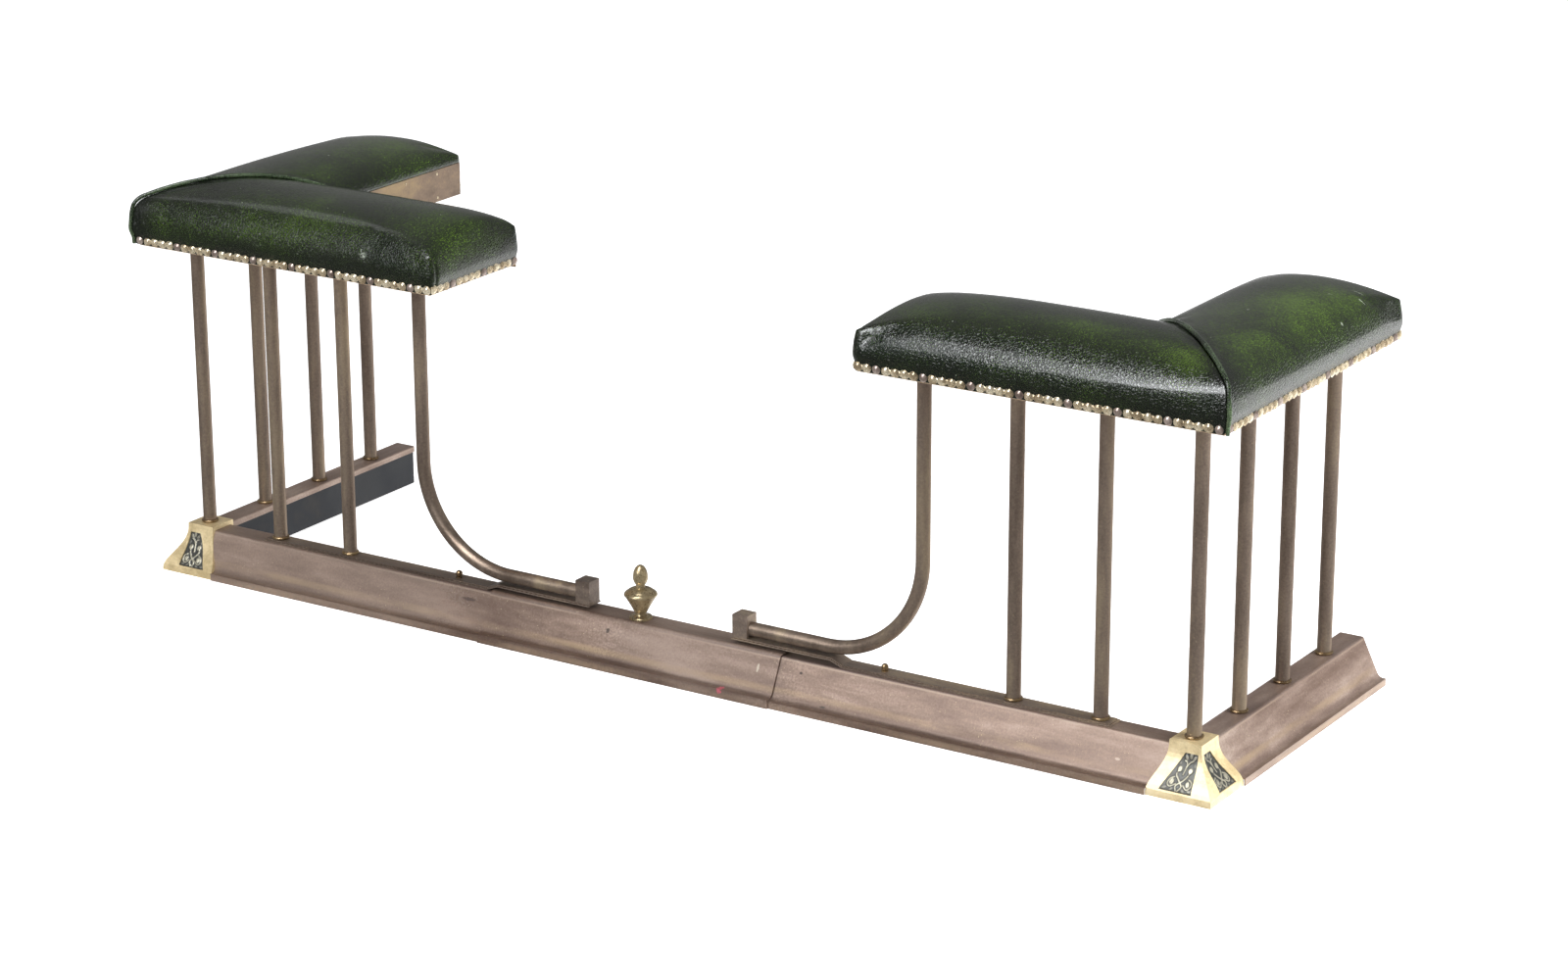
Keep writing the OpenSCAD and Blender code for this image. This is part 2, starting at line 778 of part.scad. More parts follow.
centre_sleeve();
sleeve_back_plate();
sleeve_rivets();
finial();
finial_nut();
left() front_moulding();  // left_front_moulding
left() return_moulding();  // left_return_moulding
left() front_iron();  // left_front_iron
left() return_iron();  // left_return_iron
left() corner_block();  // left_corner_block
left() corner_post();  // left_corner_post
left() front_posts();  // left_front_posts
left() return_posts();  // left_return_posts
left() swept_post();  // left_swept_post
left() post_collars();  // left_post_collars
left() carrier_strip();  // left_carrier_strip
left() end_socket();  // left_end_socket
left() strip_screws();  // left_strip_screws
left() tie_rods();  // left_tie_rods
left() tie_nuts();  // left_tie_nuts
left() tie_washers();  // left_tie_washers
left() front_seat_bar();  // left_front_seat_bar
left() return_seat_bar();  // left_return_seat_bar
left() front_board();  // left_front_board
left() return_board();  // left_return_board
left() front_pad();  // left_front_pad
left() return_pad();  // left_return_pad
left() seat_piping();  // left_seat_piping
left() front_fascia();  // left_front_fascia
left() return_fascia();  // left_return_fascia
left() fascia_pins();  // left_fascia_pins
left() nail_heads();  // left_nail_heads
right() front_moulding();  // right_front_moulding
right() return_moulding();  // right_return_moulding
right() front_iron();  // right_front_iron
right() return_iron();  // right_return_iron
right() corner_block();  // right_corner_block
right() corner_post();  // right_corner_post
right() front_posts();  // right_front_posts
right() return_posts();  // right_return_posts
right() swept_post();  // right_swept_post
right() post_collars();  // right_post_collars
right() carrier_strip();  // right_carrier_strip
right() end_socket();  // right_end_socket
right() strip_screws();  // right_strip_screws
right() tie_rods();  // right_tie_rods
right() tie_nuts();  // right_tie_nuts
right() tie_washers();  // right_tie_washers
right() front_seat_bar();  // right_front_seat_bar
right() return_seat_bar();  // right_return_seat_bar
right() front_board();  // right_front_board
right() return_board();  // right_return_board
right() front_pad();  // right_front_pad
right() return_pad();  // right_return_pad
right() seat_piping();  // right_seat_piping
right() front_fascia();  // right_front_fascia
right() return_fascia();  // right_return_fascia
right() fascia_pins();  // right_fascia_pins
right() nail_heads();  // right_nail_heads
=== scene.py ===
import math

import bmesh
import bpy
import numpy as np
from mathutils import Matrix, Vector


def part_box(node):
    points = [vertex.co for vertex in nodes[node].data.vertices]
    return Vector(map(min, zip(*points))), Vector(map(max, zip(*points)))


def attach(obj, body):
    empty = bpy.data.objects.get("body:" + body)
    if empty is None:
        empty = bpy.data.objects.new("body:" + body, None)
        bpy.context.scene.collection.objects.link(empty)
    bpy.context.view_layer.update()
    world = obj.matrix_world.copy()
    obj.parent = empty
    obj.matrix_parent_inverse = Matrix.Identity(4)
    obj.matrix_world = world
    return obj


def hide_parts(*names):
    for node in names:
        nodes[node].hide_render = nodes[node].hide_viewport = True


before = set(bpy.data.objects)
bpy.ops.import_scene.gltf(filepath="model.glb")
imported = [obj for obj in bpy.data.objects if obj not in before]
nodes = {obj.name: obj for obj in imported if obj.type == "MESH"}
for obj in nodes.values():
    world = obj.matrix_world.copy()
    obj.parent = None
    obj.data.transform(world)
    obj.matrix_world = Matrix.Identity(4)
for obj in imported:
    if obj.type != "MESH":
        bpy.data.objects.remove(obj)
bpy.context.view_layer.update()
scene = bpy.context.scene
sides = {"left": -1, "right": 1}
print("frame loaded:", len(nodes), "nodes")


view = {
    "place": (2.4171, -3.6782, 1.6038),
    "turn": 32.726, "tilt": 18.070, "roll": -0.184,  # degrees
    "lens": 92.58, "sensor": 36.0,
}


def put(name, data):
    obj = bpy.data.objects.new(name, data)
    scene.collection.objects.link(obj)
    return obj


def makeCamera(v):
    data = bpy.data.cameras.new("camera")
    data.lens = v["lens"]
    data.sensor_width = v["sensor"]
    data.sensor_fit = "HORIZONTAL"
    data.clip_end = 50
    camera = put("camera", data)
    turn = Matrix.Rotation(math.radians(v["turn"]), 4, "Z")
    tilt = Matrix.Rotation(math.radians(90 - v["tilt"]), 4, "X")
    roll = Matrix.Rotation(math.radians(v["roll"]), 4, "Z")
    camera.matrix_world = Matrix.Translation(v["place"]) @ turn @ tilt @ roll
    scene.camera = camera


studio = {
    # brightness of the room: below the horizon in front and behind, above it in front and behind
    "lowFront": 0.12, "lowBack": 2.0, "lowLeft": 0.8, "lowRight": 0.4, "highFront": 0.12, "highBack": 0.22,
    # edges of those zones as parts of a direction: low, high
    "frontHorizon": (-0.10, 0.12), "backHorizon": (-0.17, -0.10), "frontToBack": (-0.25, 0.45),
    "leftZone": (0.05, 0.30), "rightZone": (0.52, 0.62),
    "floorColour": (0.92, 0.92, 0.92, 1), "floorGlow": 0.78, "floorRough": 0.9, "floorSize": 14,
    # name: place, aim, width, height, power in watts
    "lights": {
        "key": ((-0.22, -2.30, 2.45), (0.60, -0.2, 0.42), 0.8, 3.1, 135),
        "fill": ((-1.20, -2.45, 2.10), (0.20, -0.2, 0.42), 0.8, 1.8, 9),
        "ridge": ((-2.3, 0.5, 2.7), (-0.45, -0.2, 0.46), 0.7, 0.45, 1.3),
        "front": ((-2.5, -4.0, 2.0), (-0.4, 0.0, 0.2), 3.0, 2.0, 125),
        "side": ((3.5, 0.3, 1.3), (0.5, 0.0, 0.2), 1.6, 1.8, 190),
        "top": ((-0.2, 0.5, 3.3), (0.0, 0.0, 0.3), 3.2, 1.8, 40),
    },
    "unseen": ("front", "side", "top"),  # lights that polished surfaces don't show
    "shine": ("key", "fill", "ridge"),  # lights that only show in polished surfaces
    "lightColour": (0.96, 0.98, 1.0),
}


def fill(node, **values):
    # Sets a node's inputs; an underscore stands for a space.
    for name, value in values.items():
        node.inputs[name.replace("_", " ")].default_value = value


def makeWorld(s):
    world = bpy.data.worlds.new("studio")
    scene.world = world
    world.use_nodes = True
    nodeSet, links = world.node_tree.nodes, world.node_tree.links
    background = nodeSet["Background"]
    fill(background, Color=(1, 1, 1, 1))
    direction = nodeSet.new("ShaderNodeTexCoord").outputs["Generated"]
    parts = nodeSet.new("ShaderNodeSeparateXYZ")
    links.new(direction, parts.inputs[0])

    def blend(source, zone, a, b):
        node = nodeSet.new("ShaderNodeMapRange")
        node.interpolation_type = "SMOOTHSTEP"
        fill(node, From_Min=s[zone][0], From_Max=s[zone][1])
        links.new(parts.outputs[source], node.inputs["Value"])
        for socket, value in (("To Min", a), ("To Max", b)):
            if isinstance(value, float):
                node.inputs[socket].default_value = value
            else:
                links.new(value, node.inputs[socket])
        return node.outputs["Result"]

    front = blend("Z", "frontHorizon", s["lowFront"], s["highFront"])
    lowBack = blend("X", "rightZone", s["lowBack"], s["lowRight"])
    lowBack = blend("X", "leftZone", s["lowLeft"], lowBack)
    back = blend("Z", "backHorizon", lowBack, s["highBack"])
    links.new(blend("Y", "frontToBack", front, back), background.inputs["Strength"])


def makeStudio(s):
    makeWorld(s)
    scene.view_settings.view_transform = "Standard"
    for name, (place, aim, width, height, power) in s["lights"].items():
        data = bpy.data.lights.new(name, "AREA")
        data.shape = "RECTANGLE"
        data.size = width
        data.size_y = height
        data.energy = power
        data.color = s["lightColour"]
        lamp = put(name, data)
        lamp.location = place
        lamp.rotation_euler = (Vector(aim) - Vector(place)).to_track_quat("-Z", "Y").to_euler()
        lamp.visible_glossy = name not in s["unseen"]
        lamp.visible_diffuse = name not in s["shine"]
    r = s["floorSize"]
    mesh = bpy.data.meshes.new("floor")
    mesh.from_pydata([(-r, -r, 0), (r, -r, 0), (r, r, 0), (-r, r, 0)], [], [(0, 1, 2, 3)])
    floor = put("floor", mesh)
    floor.visible_glossy = False
    material = bpy.data.materials.new("paperFloor")
    material.use_nodes = True
    fill(material.node_tree.nodes["Principled BSDF"], Base_Color=s["floorColour"], Roughness=s["floorRough"],
         Emission_Color=(1, 1, 1, 1), Emission_Strength=s["floorGlow"])
    mesh.materials.append(material)


makeCamera(view)
makeStudio(studio)
print("camera and studio made")


class Tree:
    # One material: adds and joins its shader nodes.
    def __init__(self, name):
        self.material = bpy.data.materials.new(name)
        self.material.use_nodes = True
        self.nodes = self.material.node_tree.nodes
        self.join = self.material.node_tree.links.new
        self.shader = self.nodes["Principled BSDF"]
        self.place = self.add("ShaderNodeTexCoord").outputs["Object"]

    def add(self, kind, **values):
        node = self.nodes.new(kind)
        for key, value in values.items():
            setattr(node, key, value)
        return node

    def mapped(self, scale, turn=(0, 0, 0)):
        node = self.add("ShaderNodeMapping")
        fill(node, Scale=scale, Rotation=[math.radians(a) for a in turn])
        self.join(self.place, node.inputs["Vector"])
        return node.outputs["Vector"]

    def noise(self, scale, detail=4.0, rough=0.55, stretch=(1, 1, 1), distort=0.0, turn=(0, 0, 0)):
        node = self.add("ShaderNodeTexNoise")
        fill(node, Scale=scale, Detail=detail, Roughness=rough, Distortion=distort)
        self.join(self.mapped(stretch, turn), node.inputs["Vector"])
        return node.outputs["Fac"]

    def cells(self, scale, feature="F1", stretch=(1, 1, 1), turn=(0, 0, 0)):
        node = self.add("ShaderNodeTexVoronoi", feature=feature)
        fill(node, Scale=scale)
        self.join(self.mapped(stretch, turn), node.inputs["Vector"])
        return node.outputs["Distance"]

    def span(self, value, low, high, toLow=0.0, toHigh=1.0):
        node = self.add("ShaderNodeMapRange")
        node.interpolation_type = "SMOOTHSTEP"
        fill(node, From_Min=low, From_Max=high, To_Min=toLow, To_Max=toHigh)
        self.join(value, node.inputs["Value"])
        return node.outputs["Result"]

    def math(self, kind, *values):
        node = self.add("ShaderNodeMath", operation=kind)
        for socket, value in zip(node.inputs, values):
            if isinstance(value, (int, float)):
                socket.default_value = value
            else:
                self.join(value, socket)
        return node.outputs[0]

    def times(self, a, b):
        return self.math("MULTIPLY", a, b)

    def plus(self, a, b):
        return self.math("ADD", a, b)

    def minus(self, a, b):
        return self.math("SUBTRACT", a, b)

    def mix(self, factor, a, b):
        node = self.add("ShaderNodeMix", data_type="RGBA")
        for socket, value in ((node.inputs[0], factor), (node.inputs[6], a), (node.inputs[7], b)):
            if isinstance(value, tuple):
                socket.default_value = (*value, 1)
            elif isinstance(value, (int, float)):
                socket.default_value = value
            else:
                self.join(value, socket)
        return node.outputs[2]

    def own(self, name):
        # A value that the piece carries on its points.
        return self.add("ShaderNodeAttribute", attribute_name=name).outputs["Fac"]

    def near(self, place, size):
        # 0 at a place, 1 at the given size away from it.
        node = self.add("ShaderNodeMapping")
        fill(node, Scale=[1 / x for x in size], Location=[-p / x for p, x in zip(place, size)])
        self.join(self.place, node.inputs["Vector"])
        length = self.add("ShaderNodeVectorMath", operation="LENGTH")
        self.join(node.outputs["Vector"], length.inputs[0])
        return length.outputs["Value"]

    def height(self):
        node = self.add("ShaderNodeSeparateXYZ")
        self.join(self.place, node.inputs[0])
        return node.outputs["Z"]

    def ramp(self, value, stops):
        node = self.add("ShaderNodeValToRGB")
        ramp = node.color_ramp
        while len(ramp.elements) < len(stops):
            ramp.elements.new(0.5)
        for element, (where, colour) in zip(ramp.elements, stops):
            element.position = where
            element.color = (*colour, 1)
        self.join(value, node.inputs["Fac"])
        return node.outputs["Color"]

    def bump(self, layers):
        last = None
        for height, strength, distance in layers:
            node = self.add("ShaderNodeBump")
            fill(node, Strength=strength, Distance=distance)
            self.join(height, node.inputs["Height"])
            if last is not None:
                self.join(last, node.inputs["Normal"])
            last = node.outputs["Normal"]
        self.join(last, self.shader.inputs["Normal"])

    def finish(self, colour, rough, metal, **fixed):
        self.join(colour, self.shader.inputs["Base Color"])
        self.join(rough, self.shader.inputs["Roughness"])
        fill(self.shader, Metallic=metal, **fixed)
        return self.material


patinas = {
    # tones from dark to light, streak direction, roughness low and high, share of specks,
    # metal, tint of the metal at its edges, stripes of painted highlight and painted shade
    "mouldingX": {"tones": [(0.125, 0.078, 0.058), (0.250, 0.172, 0.132), (0.42, 0.315, 0.255)],
                  "stretch": (0.22, 1, 1), "rough": (0.36, 0.52), "specks": 1.5, "metal": 0.35, "bandsWithPaintedLight": True},
    # the return mouldings: the same brass as the front, every tone about a third lighter and a little greyer
    # as painted light for faces that turn to the side light, streaked along Y
    "mouldingY": {"tones": [(0.160, 0.105, 0.080), (0.320, 0.235, 0.190), (0.54, 0.43, 0.36)],
                  "stretch": (1, 0.22, 1), "rough": (0.36, 0.52), "specks": 1.9, "metal": 0.35, "bandsWithPaintedLight": True},
    "tube": {"tones": [(0.150, 0.110, 0.084), (0.270, 0.208, 0.164), (0.44, 0.345, 0.235)],
             "stretch": (1, 1, 0.15), "rough": (0.32, 0.46), "specks": 0.55, "metal": 0.70,
             "edge": (0.42, 0.38, 0.34, 1)},
    "bar": {"tones": [(0.115, 0.084, 0.066), (0.240, 0.185, 0.148), (0.44, 0.34, 0.225)],
            "stretch": (0.2, 1, 1), "rough": (0.36, 0.55), "specks": 1.2, "metal": 0.5},
    "collar": {"tones": [(0.16, 0.105, 0.060), (0.32, 0.225, 0.125), (0.52, 0.39, 0.22)],
               "stretch": (1, 1, 1), "rough": (0.24, 0.42), "specks": 0.2, "metal": 0.85},
    "castBlock": {"tones": [(0.54, 0.41, 0.21), (0.83, 0.67, 0.39), (0.95, 0.82, 0.55)],
                  "stretch": (1, 1, 1), "rough": (0.36, 0.52), "specks": 0.25, "metal": 0.30},
    "finialBrass": {"tones": [(0.21, 0.155, 0.088), (0.46, 0.365, 0.215), (0.74, 0.61, 0.40)],
                    "stretch": (1, 1, 0.4), "rough": (0.26, 0.40), "specks": 0.25, "metal": 0.65},
    "fasciaBrass": {"tones": [(0.14, 0.097, 0.070), (0.235, 0.168, 0.118), (0.38, 0.275, 0.155)],
                    "stretch": (0.5, 0.5, 1), "rough": (0.36, 0.52), "specks": 0.3, "metal": 0.5},
}


bandsWithPaintedLight = [
    # stripes along the mouldings: a painted highlight where the cove meets the slope, painted shade in the
    # cove, a painted highlight on the toe, then a dark and a light line near the top: height, half width, how
    # far it wanders, strength, colour
    (0.0185, 0.0034, 0.0040, 0.42, (0.47, 0.34, 0.19)),
    (0.0108, 0.0024, 0.0012, 0.50, (0.125, 0.082, 0.066)),
    (0.0040, 0.0034, 0.0012, 0.45, (0.52, 0.38, 0.25)),
    (0.0515, 0.0012, 0.0002, 0.55, (0.13, 0.095, 0.088)),
    (0.0500, 0.0010, 0.0003, 0.40, (0.48, 0.37, 0.28)),
]
stainsAndSheen = [
    # on the mouldings, first a broad pale patch of painted sheen and a broad dark patch of painted shade, then
    # stains and paint spots: place, size, strength, colour
    ((-0.480, -0.190, 0.030), (0.220, 0.080, 0.060), 0.16, (0.62, 0.50, 0.42)),
    ((0.060, -0.200, 0.030), (0.130, 0.080, 0.060), 0.30, (0.125, 0.085, 0.068)),
    ((0.102, -0.207, 0.0085), (0.0042, 0.006, 0.0040), 1.0, (0.62, 0.15, 0.19)),
    ((0.140, -0.185, 0.036), (0.0018, 0.010, 0.0050), 0.55, (0.60, 0.55, 0.44)),
    ((0.590, -0.190, 0.026), (0.0034, 0.012, 0.0014), 0.5, (0.60, 0.50, 0.40)),
    ((-0.063, -0.190, 0.040), (0.0022, 0.012, 0.0030), 0.8, (0.045, 0.035, 0.030)),
    ((0.194, -0.190, 0.040), (0.0018, 0.012, 0.0018), 0.9, (0.030, 0.020, 0.018)),
    ((0.230, -0.205, 0.012), (0.0050, 0.010, 0.0012), 0.8, (0.040, 0.030, 0.024)),
    ((-0.260, -0.190, 0.040), (0.0100, 0.012, 0.0022), 0.7, (0.060, 0.042, 0.036)),
]


def makeBandsWithPaintedLight(t, p, colour):
    # Long broken stripes along a moulding: painted highlight and painted shade that follow its profile, two
    # lines near its top, then stains, paint spots and patches of painted sheen and painted shade.
    wander = t.minus(t.noise(16, 4, 0.6, p["stretch"]), 0.5)
    broken = t.span(t.noise(30, 5, 0.65, p["stretch"], turn=(7, 3, 0)), 0.32, 0.66)
    place = t.height()
    for middle, half, roam, strength, tone in bandsWithPaintedLight:
        off = t.minus(t.plus(place, t.times(wander, roam)), middle)
        near = t.span(t.math("DIVIDE", t.math("ABSOLUTE", off), half), 1.5, 0.3)
        colour = t.mix(t.times(t.times(near, broken), strength), colour, tone)
    edge = t.times(t.minus(t.noise(420, 2), 0.5), 1.1)
    for where, size, strength, tone in stainsAndSheen:
        near = t.span(t.plus(t.near(where, size), edge), 1.1, 0.8)
        colour = t.mix(t.times(near, strength), colour, tone)
    return colour


wearAndHighlightColours = {"speckColour": (0.66, 0.54, 0.34), "pitColour": (0.015, 0.010, 0.008), "rubAndHighlightColour": (0.34, 0.38, 0.30)}


def makePatina(name, p):
    t = Tree(name)
    cloud = t.noise(9, 6, 0.62, p["stretch"], 0.4)
    streak = t.noise(60, 5, 0.6, p["stretch"])
    fine = t.noise(420, 3, 0.6)
    tone = t.plus(t.times(cloud, 0.50), t.times(streak, 0.32))
    tone = t.plus(tone, t.times(fine, 0.18))
    colour = t.ramp(t.span(tone, 0.33, 0.68), list(zip((0.0, 0.5, 1.0), p["tones"])))
    light = t.span(t.cells(230), 0.16, 0.05)  # pale specks
    rare = t.span(t.noise(38, 2), 0.60 - 0.16 * p["specks"], 0.72)
    speck = t.times(light, rare)
    colour = t.mix(t.times(speck, 0.8), colour, wearAndHighlightColours["speckColour"])
    dark = t.span(t.cells(88, turn=(20, 30, 10)), 0.07, 0.03)  # pin holes and stains
    seldom = t.span(t.noise(17, 2, turn=(40, 10, 0)), 0.56, 0.62)
    pit = t.times(dark, seldom)
    colour = t.mix(t.times(pit, 0.85), colour, wearAndHighlightColours["pitColour"])
    # stripes of painted highlight and painted shade along the moulding; stains, paint spots and painted sheen
    # in patches
    if p.get("bandsWithPaintedLight"):
        colour = makeBandsWithPaintedLight(t, p, colour)
    rough = t.span(t.plus(t.times(cloud, 0.6), t.times(fine, 0.4)),
                   0.35, 0.65, *p["rough"])
    t.bump([(fine, 0.12, 0.0005), (cloud, 0.18, 0.0016), (speck, 0.3, 0.0004),
            (t.minus(1.0, pit), 0.5, 0.0005)])
    return t.finish(colour, rough, p["metal"], Specular_Tint=p.get("edge", (1, 1, 1, 1)))


leathers = {
    # shadow, body and rubbed colours of the antiqued dye; size of a grain pebble in metres
    "seatLeather": {"dye": [(0.0050, 0.0070, 0.0038), (0.0190, 0.0345, 0.0048), (0.078, 0.140, 0.011)],
                    "pebble": 0.0018, "low": 0.30, "high": 0.84},
    "pipingLeather": {"dye": [(0.007, 0.011, 0.006), (0.020, 0.034, 0.014), (0.085, 0.125, 0.060)],
                      "pebble": 0.0013, "low": 0.25, "high": 0.75},
}

rubsAndHighlights = [
    # pale rubs on the leather, the first two a painted highlight on the pleat at the left free end: place,
    # size along X, Y and Z
    ((-0.372, -0.217, 0.441), (0.0050, 0.004, 0.0045)),
    ((-0.375, -0.217, 0.446), (0.0022, 0.004, 0.0020)),
    ((0.700, 0.128, 0.463), (0.010, 0.0010, 0.004)),
    ((0.690, 0.142, 0.468), (0.007, 0.0012, 0.004)),
    ((0.676, 0.100, 0.472), (0.0030, 0.0030, 0.003)),
    ((0.710, 0.060, 0.456), (0.0022, 0.0020, 0.003)),
    ((0.640, -0.020, 0.480), (0.0016, 0.0016, 0.004)),
    ((-0.640, -0.150, 0.470), (0.0018, 0.0018, 0.004)),
    ((-0.610, 0.020, 0.480), (0.0016, 0.0020, 0.004)),
]


def makeLeather(name, p):
    t = Tree(name)
    antique = t.own("antique")
    patch = t.noise(15, 4, 0.6, turn=(20, 0, 35), distort=0.5)
    pebble = t.cells(1 / p["pebble"], "SMOOTH_F1", (1, 0.58, 1), (0, 0, 35))
    crease = t.cells(0.55 / p["pebble"], "DISTANCE_TO_EDGE", (1, 0.7, 1), (10, 0, 50))
    grain = t.noise(1.1 / p["pebble"], 3, 0.65, (1, 0.5, 1), turn=(0, 0, 35))
    dye = t.plus(t.times(antique, 0.62), t.times(patch, 0.45))
    dye = t.plus(dye, t.times(t.minus(grain, 0.5), 0.85))
    colour = t.ramp(t.span(dye, p["low"], p["high"]), list(zip((0.0, 0.42, 1.0), p["dye"])))
    fleck = t.times(t.span(pebble, 0.30, 0.12), t.span(dye, 0.36, 0.62))
    colour = t.mix(t.times(fleck, 0.45), colour, p["dye"][2])
    valley = t.span(crease, 0.0, 0.12)
    colour = t.mix(t.times(t.minus(1.0, valley), 0.7), colour, p["dye"][0])
    rub = None
    if name == "seatLeather":
        for place, size in rubsAndHighlights:
            one = t.span(t.near(place, size), 1.2, 0.5)
            rub = one if rub is None else t.math("MAXIMUM", rub, one)
        rub = t.times(rub, t.span(t.noise(520, 2), 0.42, 0.56))
        dust = t.times(t.span(t.cells(60, turn=(15, 25, 5)), 0.055, 0.035),
                      t.span(t.noise(9, 2), 0.56, 0.62))
        rub = t.math("MAXIMUM", rub, t.times(dust, 0.8))
        # pale rubs and dust, with the painted highlight on the left pleat
        colour = t.mix(t.times(rub, 0.75), colour, wearAndHighlightColours["rubAndHighlightColour"])
    rough = t.span(grain, 0.3, 0.7, 0.13, 0.24)
    t.bump([(t.noise(60, 3, 0.5), 0.10, 0.0010), (pebble, 0.55, 0.0008), (valley, 0.45, 0.0004)])
    return t.finish(colour, rough, 0.0, Specular_IOR_Level=0.5, Coat_Weight=0.45, Coat_Roughness=0.12)


def makeIronPaint():
    t = Tree("ironPaint")
    fine = t.noise(300, 4, 0.6)
    cloud = t.noise(14, 4, 0.6)
    colour = t.ramp(cloud, [(0.3, (0.010, 0.011, 0.013)), (0.6, (0.020, 0.022, 0.026)),
                            (0.8, (0.045, 0.040, 0.036))])
    t.bump([(fine, 0.2, 0.0004), (cloud, 0.3, 0.001)])
    return t.finish(colour, t.span(cloud, 0.3, 0.7, 0.38, 0.62), 0.1)


def makeSteel():
    t = Tree("plainSteel")
    fine = t.noise(240, 4, 0.6, (1, 1, 0.1))
    colour = t.ramp(fine, [(0.3, (0.22, 0.22, 0.23)), (0.7, (0.42, 0.42, 0.43))])
    t.bump([(fine, 0.15, 0.0003)])
    return t.finish(colour, t.span(fine, 0.3, 0.7, 0.28, 0.45), 1.0)


def makeTimber():
    t = Tree("plyTimber")
    ring = t.noise(34, 5, 0.6, (0.12, 1, 1), 0.5)
    pore = t.noise(500, 2, 0.5, (0.06, 1, 1))
    colour = t.ramp(ring, [(0.3, (0.30, 0.19, 0.105)), (0.5, (0.42, 0.285, 0.165)),
                           (0.75, (0.52, 0.37, 0.23))])
    t.bump([(ring, 0.2, 0.0008), (pore, 0.25, 0.0003)])
    return t.finish(colour, t.span(pore, 0.3, 0.7, 0.55, 0.75), 0.0)


nailFinish = {
    "stripHead": {"tones": [(0.38, 0.29, 0.18), (0.63, 0.515, 0.34), (0.84, 0.74, 0.55)],
                  "rough": (0.20, 0.30), "metal": 0.60},
    "realNail": {"tones": [(0.22, 0.165, 0.135), (0.37, 0.29, 0.25), (0.52, 0.43, 0.37)],
                 "rough": (0.26, 0.40), "metal": 0.62},
}


def makeNailBrass(name, p):
    t = Tree(name)
    cloud = t.noise(75, 3, 0.6)
    fine = t.noise(700, 3, 0.6)
    colour = t.ramp(t.span(cloud, 0.32, 0.66), list(zip((0.0, 0.5, 1.0), p["tones"])))
    t.bump([(fine, 0.08, 0.0002)])
    return t.finish(colour, t.span(fine, 0.3, 0.7, *p["rough"]), p["metal"])


def makePewter():
    # The raised work is rubbed bright and the ground stays dark.
    t = Tree("reliefPewter")
    high = t.own("relief")  # how far a point stands up
    fine = t.noise(900, 4, 0.7)
    rub = t.plus(high, t.times(t.minus(fine, 0.5), 0.5))
    colour = t.ramp(rub, [(0.10, (0.085, 0.085, 0.078)), (0.45, (0.24, 0.23, 0.19)),
                          (0.9, (0.58, 0.54, 0.41))])
    t.bump([(fine, 0.5, 0.0004)])
    return t.finish(colour, t.span(fine, 0.3, 0.7, 0.30, 0.50), 0.55)


paint = {name: makePatina(name, p) for name, p in patinas.items()}
paint.update({name: makeLeather(name, p) for name, p in leathers.items()})
paint.update({name: makeNailBrass(name, p) for name, p in nailFinish.items()})
paint.update(iron=makeIronPaint(), steel=makeSteel(), timber=makeTimber(), pewter=makePewter())

cadFinish = {
    "centre_sleeve": "mouldingX", "sleeve_back_plate": "iron", "sleeve_rivets": "iron",
    "finial": "finialBrass", "finial_nut": "steel", "front_moulding": "mouldingX",
    "return_moulding": "mouldingY", "front_iron": "iron", "return_iron": "iron",
    "corner_block": "castBlock", "corner_post": "tube", "front_posts": "tube", "return_posts": "tube",
    "swept_post": "tube", "post_collars": "collar", "carrier_strip": "bar", "end_socket": "bar",
    "strip_screws": "collar", "tie_rods": "steel", "tie_nuts": "steel", "tie_washers": "steel",
    "front_seat_bar": "iron", "return_seat_bar": "iron", "front_board": "timber", "return_board": "timber",
    "front_fascia": "fasciaBrass", "return_fascia": "fasciaBrass", "fascia_pins": "stripHead",
    "front_pad": "seatLeather", "return_pad": "seatLeather", "seat_piping": "pipingLeather",
    "nail_heads": "stripHead",
}


def dressCad():
    for name, node in nodes.items():
        plain = name.split("_", 1)[1] if name.split("_", 1)[0] in sides else name
        node.data.materials.clear()
        node.data.materials.append(paint[cadFinish[plain]])


dressCad()
print("materials made:", len(paint))


def addMesh(name, verts, faces, material):
    mesh = bpy.data.meshes.new(name)
    mesh.from_pydata([tuple(v) for v in verts], [], faces)
    bm = bmesh.new()
    bm.from_mesh(mesh)
    bmesh.ops.recalc_face_normals(bm, faces=bm.faces)
    bm.to_mesh(mesh)
    bm.free()
    mesh.shade_smooth()
    mesh.materials.append(material)
    return put(name, mesh)


def evaluated(obj):
    return obj.evaluated_get(bpy.context.evaluated_depsgraph_get())


def store(obj, name, values):
    obj.data.attributes.new(name, "FLOAT", "POINT").data.foreach_set("value", values)


def bake(obj):
    # Swaps a piece's modifiers for the mesh they make.
    done = bpy.data.meshes.new_from_object(evaluated(obj))
    obj.modifiers.clear()
    obj.data = done
    obj.data.name = obj.name


